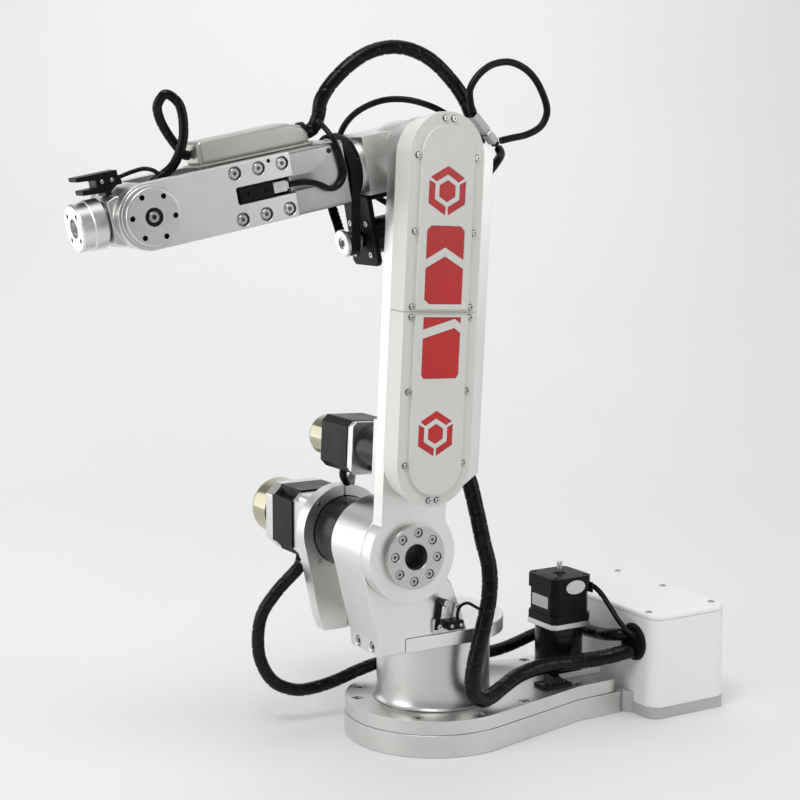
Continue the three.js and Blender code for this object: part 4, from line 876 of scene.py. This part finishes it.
b.use(STEEL).screw((16.8, 67.9, 107.5), (0, 1, 0), 1.5, 0.8)
b.screw((25.2, 67.9, 107.5), (0, 1, 0), 1.5, 0.8)
b.screw((33, 61.3, 106.5), (0, 1, 0), 2.1, 1.4)
b.screw((14.6, 60.4, 119.8), (0, 1, 0), 1.6, 1.1)
b.done("turret", ("j2_limit_switch",), "black_plastic", 30)

# switch in the forearm slot, with its pale plug
b = Build("j4_limit_switch_shape", FORE)
b.use(BLACK_AND_SHADE); yprism(b, fillet([(123.5, -5.3), (151, -5.3), (151, 5.3), (123.5, 5.3)], 0.6, 3), 46.5, 52.3, 0.3,
                     [(130.5, 0, [(1.3, 0), (1.3, 2)], False, 16, DARK_STEEL_AND_SHADE), (144.5, 0, [(1.3, 0), (1.3, 2)], False, 16, DARK_STEEL_AND_SHADE)])
b.use(LABEL); yprism(b, fillet([(113.2, -3.9), (123.6, -3.9), (123.6, 3.9), (113.2, 3.9)], 0.5, 3), 47.6, 53.2, 0.3)
b.use(LABEL); yprism(b, [(111.2, -2.7), (113.3, -2.7), (113.3, 2.7), (111.2, 2.7)], 48.2, 52.4, 0.2)
b.use(STEEL)
for v in (-2.2, 0, 2.2):
    yprism(b, [(114.6, v - 0.45), (121.8, v - 0.45), (121.8, v + 0.45), (114.6, v + 0.45)], 53.0, 53.38, 0.05)
b.done("forearm", ("j4_limit_switch",), "black_plastic", 30)

# fasteners of the roll-drive bracket and the wrist switch
b = Build("elbow_screws", FORE).use(STEEL)
for y, z in ((12, -44), (36, -44), (12, -68), (36, -68)):
    b.screw((43.3, y, z), (1, 0, 0), 2.4, 1.6)
b.done("elbow", (), "steel", 30)
b = Build("wrist_screws", FORE).use(STEEL)
b.screw((236, 31.3, 28.5), (0, 1, 0), 1.4, 0.9)
b.screw((243.5, 31.3, 28.5), (0, 1, 0), 1.4, 0.9)
b.done("wrist", (), "steel", 30)

# ------------------------------------------------------------------ toothed belts and pulleys
def belt_path(c1, r1, c2, r2, n):
    """n samples of (point, outward normal) round two pulleys."""
    dx, dy = c2[0] - c1[0], c2[1] - c1[1]
    D, phi = math.hypot(dx, dy), math.atan2(dy, dx)
    al = math.acos((r1 - r2) / D)
    line = D * math.sin(al)
    segs = [("arc", c1, r1, phi + al, 2 * math.pi - 2 * al), ("line", c1, r1, phi - al, line), ("arc", c2, r2, phi - al, 2 * al), ("line2", c2, r2, phi + al, line)]
    lens = [r1 * segs[0][4], line, r2 * segs[2][4], line]
    total, out = sum(lens), []
    for i in range(n):
        s = total * i / n
        k = 0
        while s > lens[k]:
            s -= lens[k]; k += 1
        kind, c, r, a, _ = segs[k]
        if kind == "arc":
            t = a + s / r
            nx, ny = math.cos(t), math.sin(t)
            out.append(((c[0] + r * nx, c[1] + r * ny), (nx, ny)))
        else:
            nx, ny = math.cos(a), math.sin(a)
            sgn = 1
            out.append(((c[0] + r * nx - sgn * ny * s, c[1] + r * ny + sgn * nx * s), (nx, ny)))
    return out, total


def toothed_belt(node, body, local, place, c1, r1, c2, r2, lo, hi, inner, outer, tooth, pitch):
    _, total = belt_path(c1, r1, c2, r2, 4)
    teeth = max(8, round(total / pitch))
    path, _ = belt_path(c1, r1, c2, r2, teeth * 6)
    b = Build(node + "_shape", local).use(RUBBER)
    prof = [inner, inner, inner + tooth, inner + tooth, inner + tooth, inner]
    off = lambda d: [(p[0] + n[0] * d, p[1] + n[1] * d) for p, n in path]
    tin = [(p[0] + n[0] * prof[i % 6], p[1] + n[1] * prof[i % 6]) for i, (p, n) in enumerate(path)]
    loops = []
    for pts, z in [(tin, lo), (off(outer - 0.25), lo), (off(outer), lo + 0.25), (off(outer), hi - 0.25), (off(outer - 0.25), hi), (tin, hi)]:
        loops.append(b.ring([place(x, y, z) for x, y in pts]))
    for a, c in zip(loops, loops[1:] + loops[:1]):
        b.skin(a, c)
    b.done(body, (node,), "rubber_belt", 30)


def gear(b, place, cx, cy, R, lo, hi, depth, pitch):
    teeth = round(2 * math.pi * R / pitch)
    pts = []
    for i in range(teeth):
        for f, r in ((0.0, R), (0.5, R), (0.62, R - depth), (0.88, R - depth)):
            t = 2 * math.pi * (i + f) / teeth
            pts.append((cx + r * math.cos(t), cy + r * math.sin(t)))
    b.prism(pts, lo, hi, 0, (), place)


PX = lambda y, z, h: (h, y, z)
PYm = lambda x, z, h: (x, h, z)
toothed_belt("j4_belt", "elbow", FORE, PX, (24, 0), 24.6, (24, -56), 8.2, 50.4, 58, 0.5, 2.5, 1.0, 3.0)
toothed_belt("j3_belt", "upper_arm", ARM, PYm, (0, 305), 23, (0, 74.7), 11.5, 75.5, 84.5, 0.5, 2.2, 0.8, 5.0)
toothed_belt("j1_belt", "base", WORLD, XY, (0, 0), 42, (-129, 0), 10.5, 8.5, 16, 0.6, 2.3, 0.9, 5.0)
b = Build("j4_drive_pulley_shape", FORE)
b.use(BLACK_OXIDE_AND_SHADE); gear(b, PX, 24, 0, 24.6, 46.9, 58.9, 1.0, 3.0)
b.use(BLACK_OXIDE_AND_SHADE).lathe([(0, 46.0), (24.6, 46.0), (24.6, 46.9), (0, 46.9)], about_x(24, 0), 72)
b.use(ALU_FINE).lathe([(0, 58.8), (24.2, 58.8), (24.2, 59.1), (20, 59.2), (20, 61.6), (19.6, 62), (0, 62)], about_x(24, 0), 72)
b.done("forearm", ("j4_drive_pulley",), "aluminium", 30)
b = Build("j4_motor_pulley_shape", FORE)
b.use(ALU_FINE); gear(b, PX, 24, -56, 8.2, 47.2, 58.5, 0.9, 3.0)
b.use(STEEL).lathe([(0, 39.4), (3, 39.4), (3, 47.0), (8.2, 47.0), (8.2, 47.4), (0, 47.4)], about_x(24, -56), 32)
b.use(ALU_FINE).lathe([(0, 58.4), (10.2, 58.4), (10.6, 58.8), (10.6, 60.6), (10.1, 61.3), (7.2, 61.4), (4.4, 61.2), (4.2, 60.1), (0, 60.1)], about_x(24, -56), 56)
b.use(DARK_STEEL_AND_SHADE).lathe([(0, 60.0), (2.5, 60.0), (2.5, 60.5), (2.3, 60.7), (0, 60.7)], about_x(24, -56), 24)
b.done("j4_pinion", ("j4_motor_pulley",), "steel", 30)


# ------------------------------------------------------------------ red inlays set into pockets of the arm covers
def hexagon(cx, cz, r, turn=0):
    return [(cx + r * math.cos(math.radians(60 * i + 30 + turn)), cz + r * math.sin(math.radians(60 * i + 30 + turn))) for i in range(6)]


def hex_bands(cx, cz, r):
    """A hexagon drawn as three separate corner bands and a core."""
    out = []
    for k in range(3):
        a = [k * 120 + t for t in (34, 90, 146)]
        pt = lambda t, s: (cx + s * r * math.cos(math.radians(t)), cz + s * r * math.sin(math.radians(t)))
        rad = lambda t, s: s * math.cos(math.radians(30)) / math.cos(math.radians((t - 30) % 60 - 30))
        out.append([pt(t, rad(t, 1.0)) for t in a] + [pt(t, rad(t, 0.66)) for t in reversed(a)])
    out.append(hexagon(cx, cz, r * 0.44))
    return out


INLAY_LO = hex_bands(1.4, 98.4, 17.5) + [[(-14.5, 140), (14.5, 140), (16.5, 143), (16.5, 170), (-11, 178), (-16.5, 174), (-16.5, 143)]]
INLAY_HI = hex_bands(0.4, 279.0, 18.5) + [[(-16.5, 195.5), (12, 195.5), (16.5, 199), (16.5, 222), (0, 231), (-16.5, 222)], [(-16.5, 228.5), (0, 237.6), (16.5, 228.5), (16.5, 250), (13, 253.5), (-13, 253.5), (-16.5, 250)]]
INLAY_LO.append([(-16.5, 181), (-11, 184.6), (16.5, 176.6), (16.5, 186), (-16.5, 186)])


def carve(obj, shapes, lo, hi):
    """Cuts pockets with the given outlines out of a piece's mesh."""
    c = Build("cutter", ARM).use(IVORY)
    for pts in shapes:
        yprism(c, pts, lo, hi, 0)
    me = bpy.data.meshes.new("cutter")
    me.from_pydata([tuple((ARM @ Vector(p)) * MM) for p in c.v], [], c.f)
    bm = bmesh.new(); bm.from_mesh(me); bmesh.ops.recalc_face_normals(bm, faces=bm.faces); bm.to_mesh(me); bm.free()
    tool = bpy.data.objects.new("cutter", me)
    scene.collection.objects.link(tool)
    return bake_boolean(obj, tool)


for node, shapes in (("arm_cover_lower", INLAY_LO), ("arm_cover_upper", INLAY_HI)):
    o = bpy.data.objects[node + "_shape"]
    carve(o, shapes, 97.9, 99.6)
    b = Build(node + "_inlay", ARM).use(RED)
    for pts in shapes:
        yprism(b, inset(ccw(pts), 0.12), 97.6, 98.55, 0.18)
    b.done("upper_arm", (), "cover_ivory", 30)


# ------------------------------------------------------------------ stage and light
def stage_mesh():
    """One sweep: floor that curves up into a backdrop behind the object, square to the camera."""
    fwd = Vector((-back.x, -back.y, 0)).normalized()
    side = Vector((-fwd.y, fwd.x, 0))
    prof = [(-3.4, 0.0), (-1.0, 0.0), (0.9, 0.0)] + [(0.9 + 1.6 * math.sin(math.radians(a)), 1.6 - 1.6 * math.cos(math.radians(a))) for a in range(5, 91, 5)] + [(2.5, 4.6)]
    verts, faces = [], []
    for s in (-5.0, 5.0):
        for f, z in prof:
            p = fwd * f + side * s
            verts.append((p.x, p.y, z - 0.0002))
    k = len(prof)
    for i in range(k - 1):
        faces.append((i, i + 1, k + i + 1, k + i))
    me = bpy.data.meshes.new("sweep")
    me.from_pydata(verts, [], faces); me.update()
    me.polygons.foreach_set("use_smooth", [True] * len(me.polygons))
    m, nt, b, co = nodes_of("paper_sweep")
    nt.links.new(ramp(nt, noise(nt, co, 1.2, 2), (0.80, 0.80, 0.80), (0.83, 0.83, 0.83)), b.inputs["Base Color"])
    b.inputs["Roughness"].default_value = 0.62
    bump(nt, b, noise(nt, co, 300, 2), 0.02, 0.0001)
    me.materials.append(m)
    o = bpy.data.objects.new("sweep", me)
    scene.collection.objects.link(o)


stage_mesh()


def area(name, loc, target, size, power, color=(1, 1, 1), size_y=None):
    d = bpy.data.lights.new(name, "AREA")
    d.shape, d.size, d.size_y = "RECTANGLE", size, size_y or size
    d.energy, d.color = power, color
    o = bpy.data.objects.new(name, d)
    o.location = loc
    o.rotation_euler = (Vector(target) - Vector(loc)).to_track_quat("-Z", "Y").to_euler()
    scene.collection.objects.link(o)
    return o


centre = Vector((0.03, 0.0, 0.28))
area("key", centre + Vector((0.9, 0.7, 1.9)), centre, 1.1, 22.5)
area("fill", centre + Vector((-1.3, 1.5, 0.7)), centre, 1.4, 10)
area("top", centre + Vector((-0.2, -0.2, 2.3)), centre, 1.9, 9.5)
area("front", centre + Vector((2.0, -0.2, 0.5)), centre, 1.2, 13)
area("backdrop", centre + Vector((-0.7, -1.7, 1.6)), centre + Vector((-1.1, -2.2, 0.3)), 2.2, 13.5)
area("rim", centre + Vector((0.95, -1.45, 0.0)), centre, 0.8, 5, size_y=1.2)
world = bpy.data.worlds.new("studio")
world.use_nodes = True
world.node_tree.nodes["Background"].inputs["Color"].default_value = (0.93, 0.94, 0.95, 1)
world.node_tree.nodes["Background"].inputs["Strength"].default_value = 0.34
scene.world = world
scene.view_settings.view_transform = "Standard"
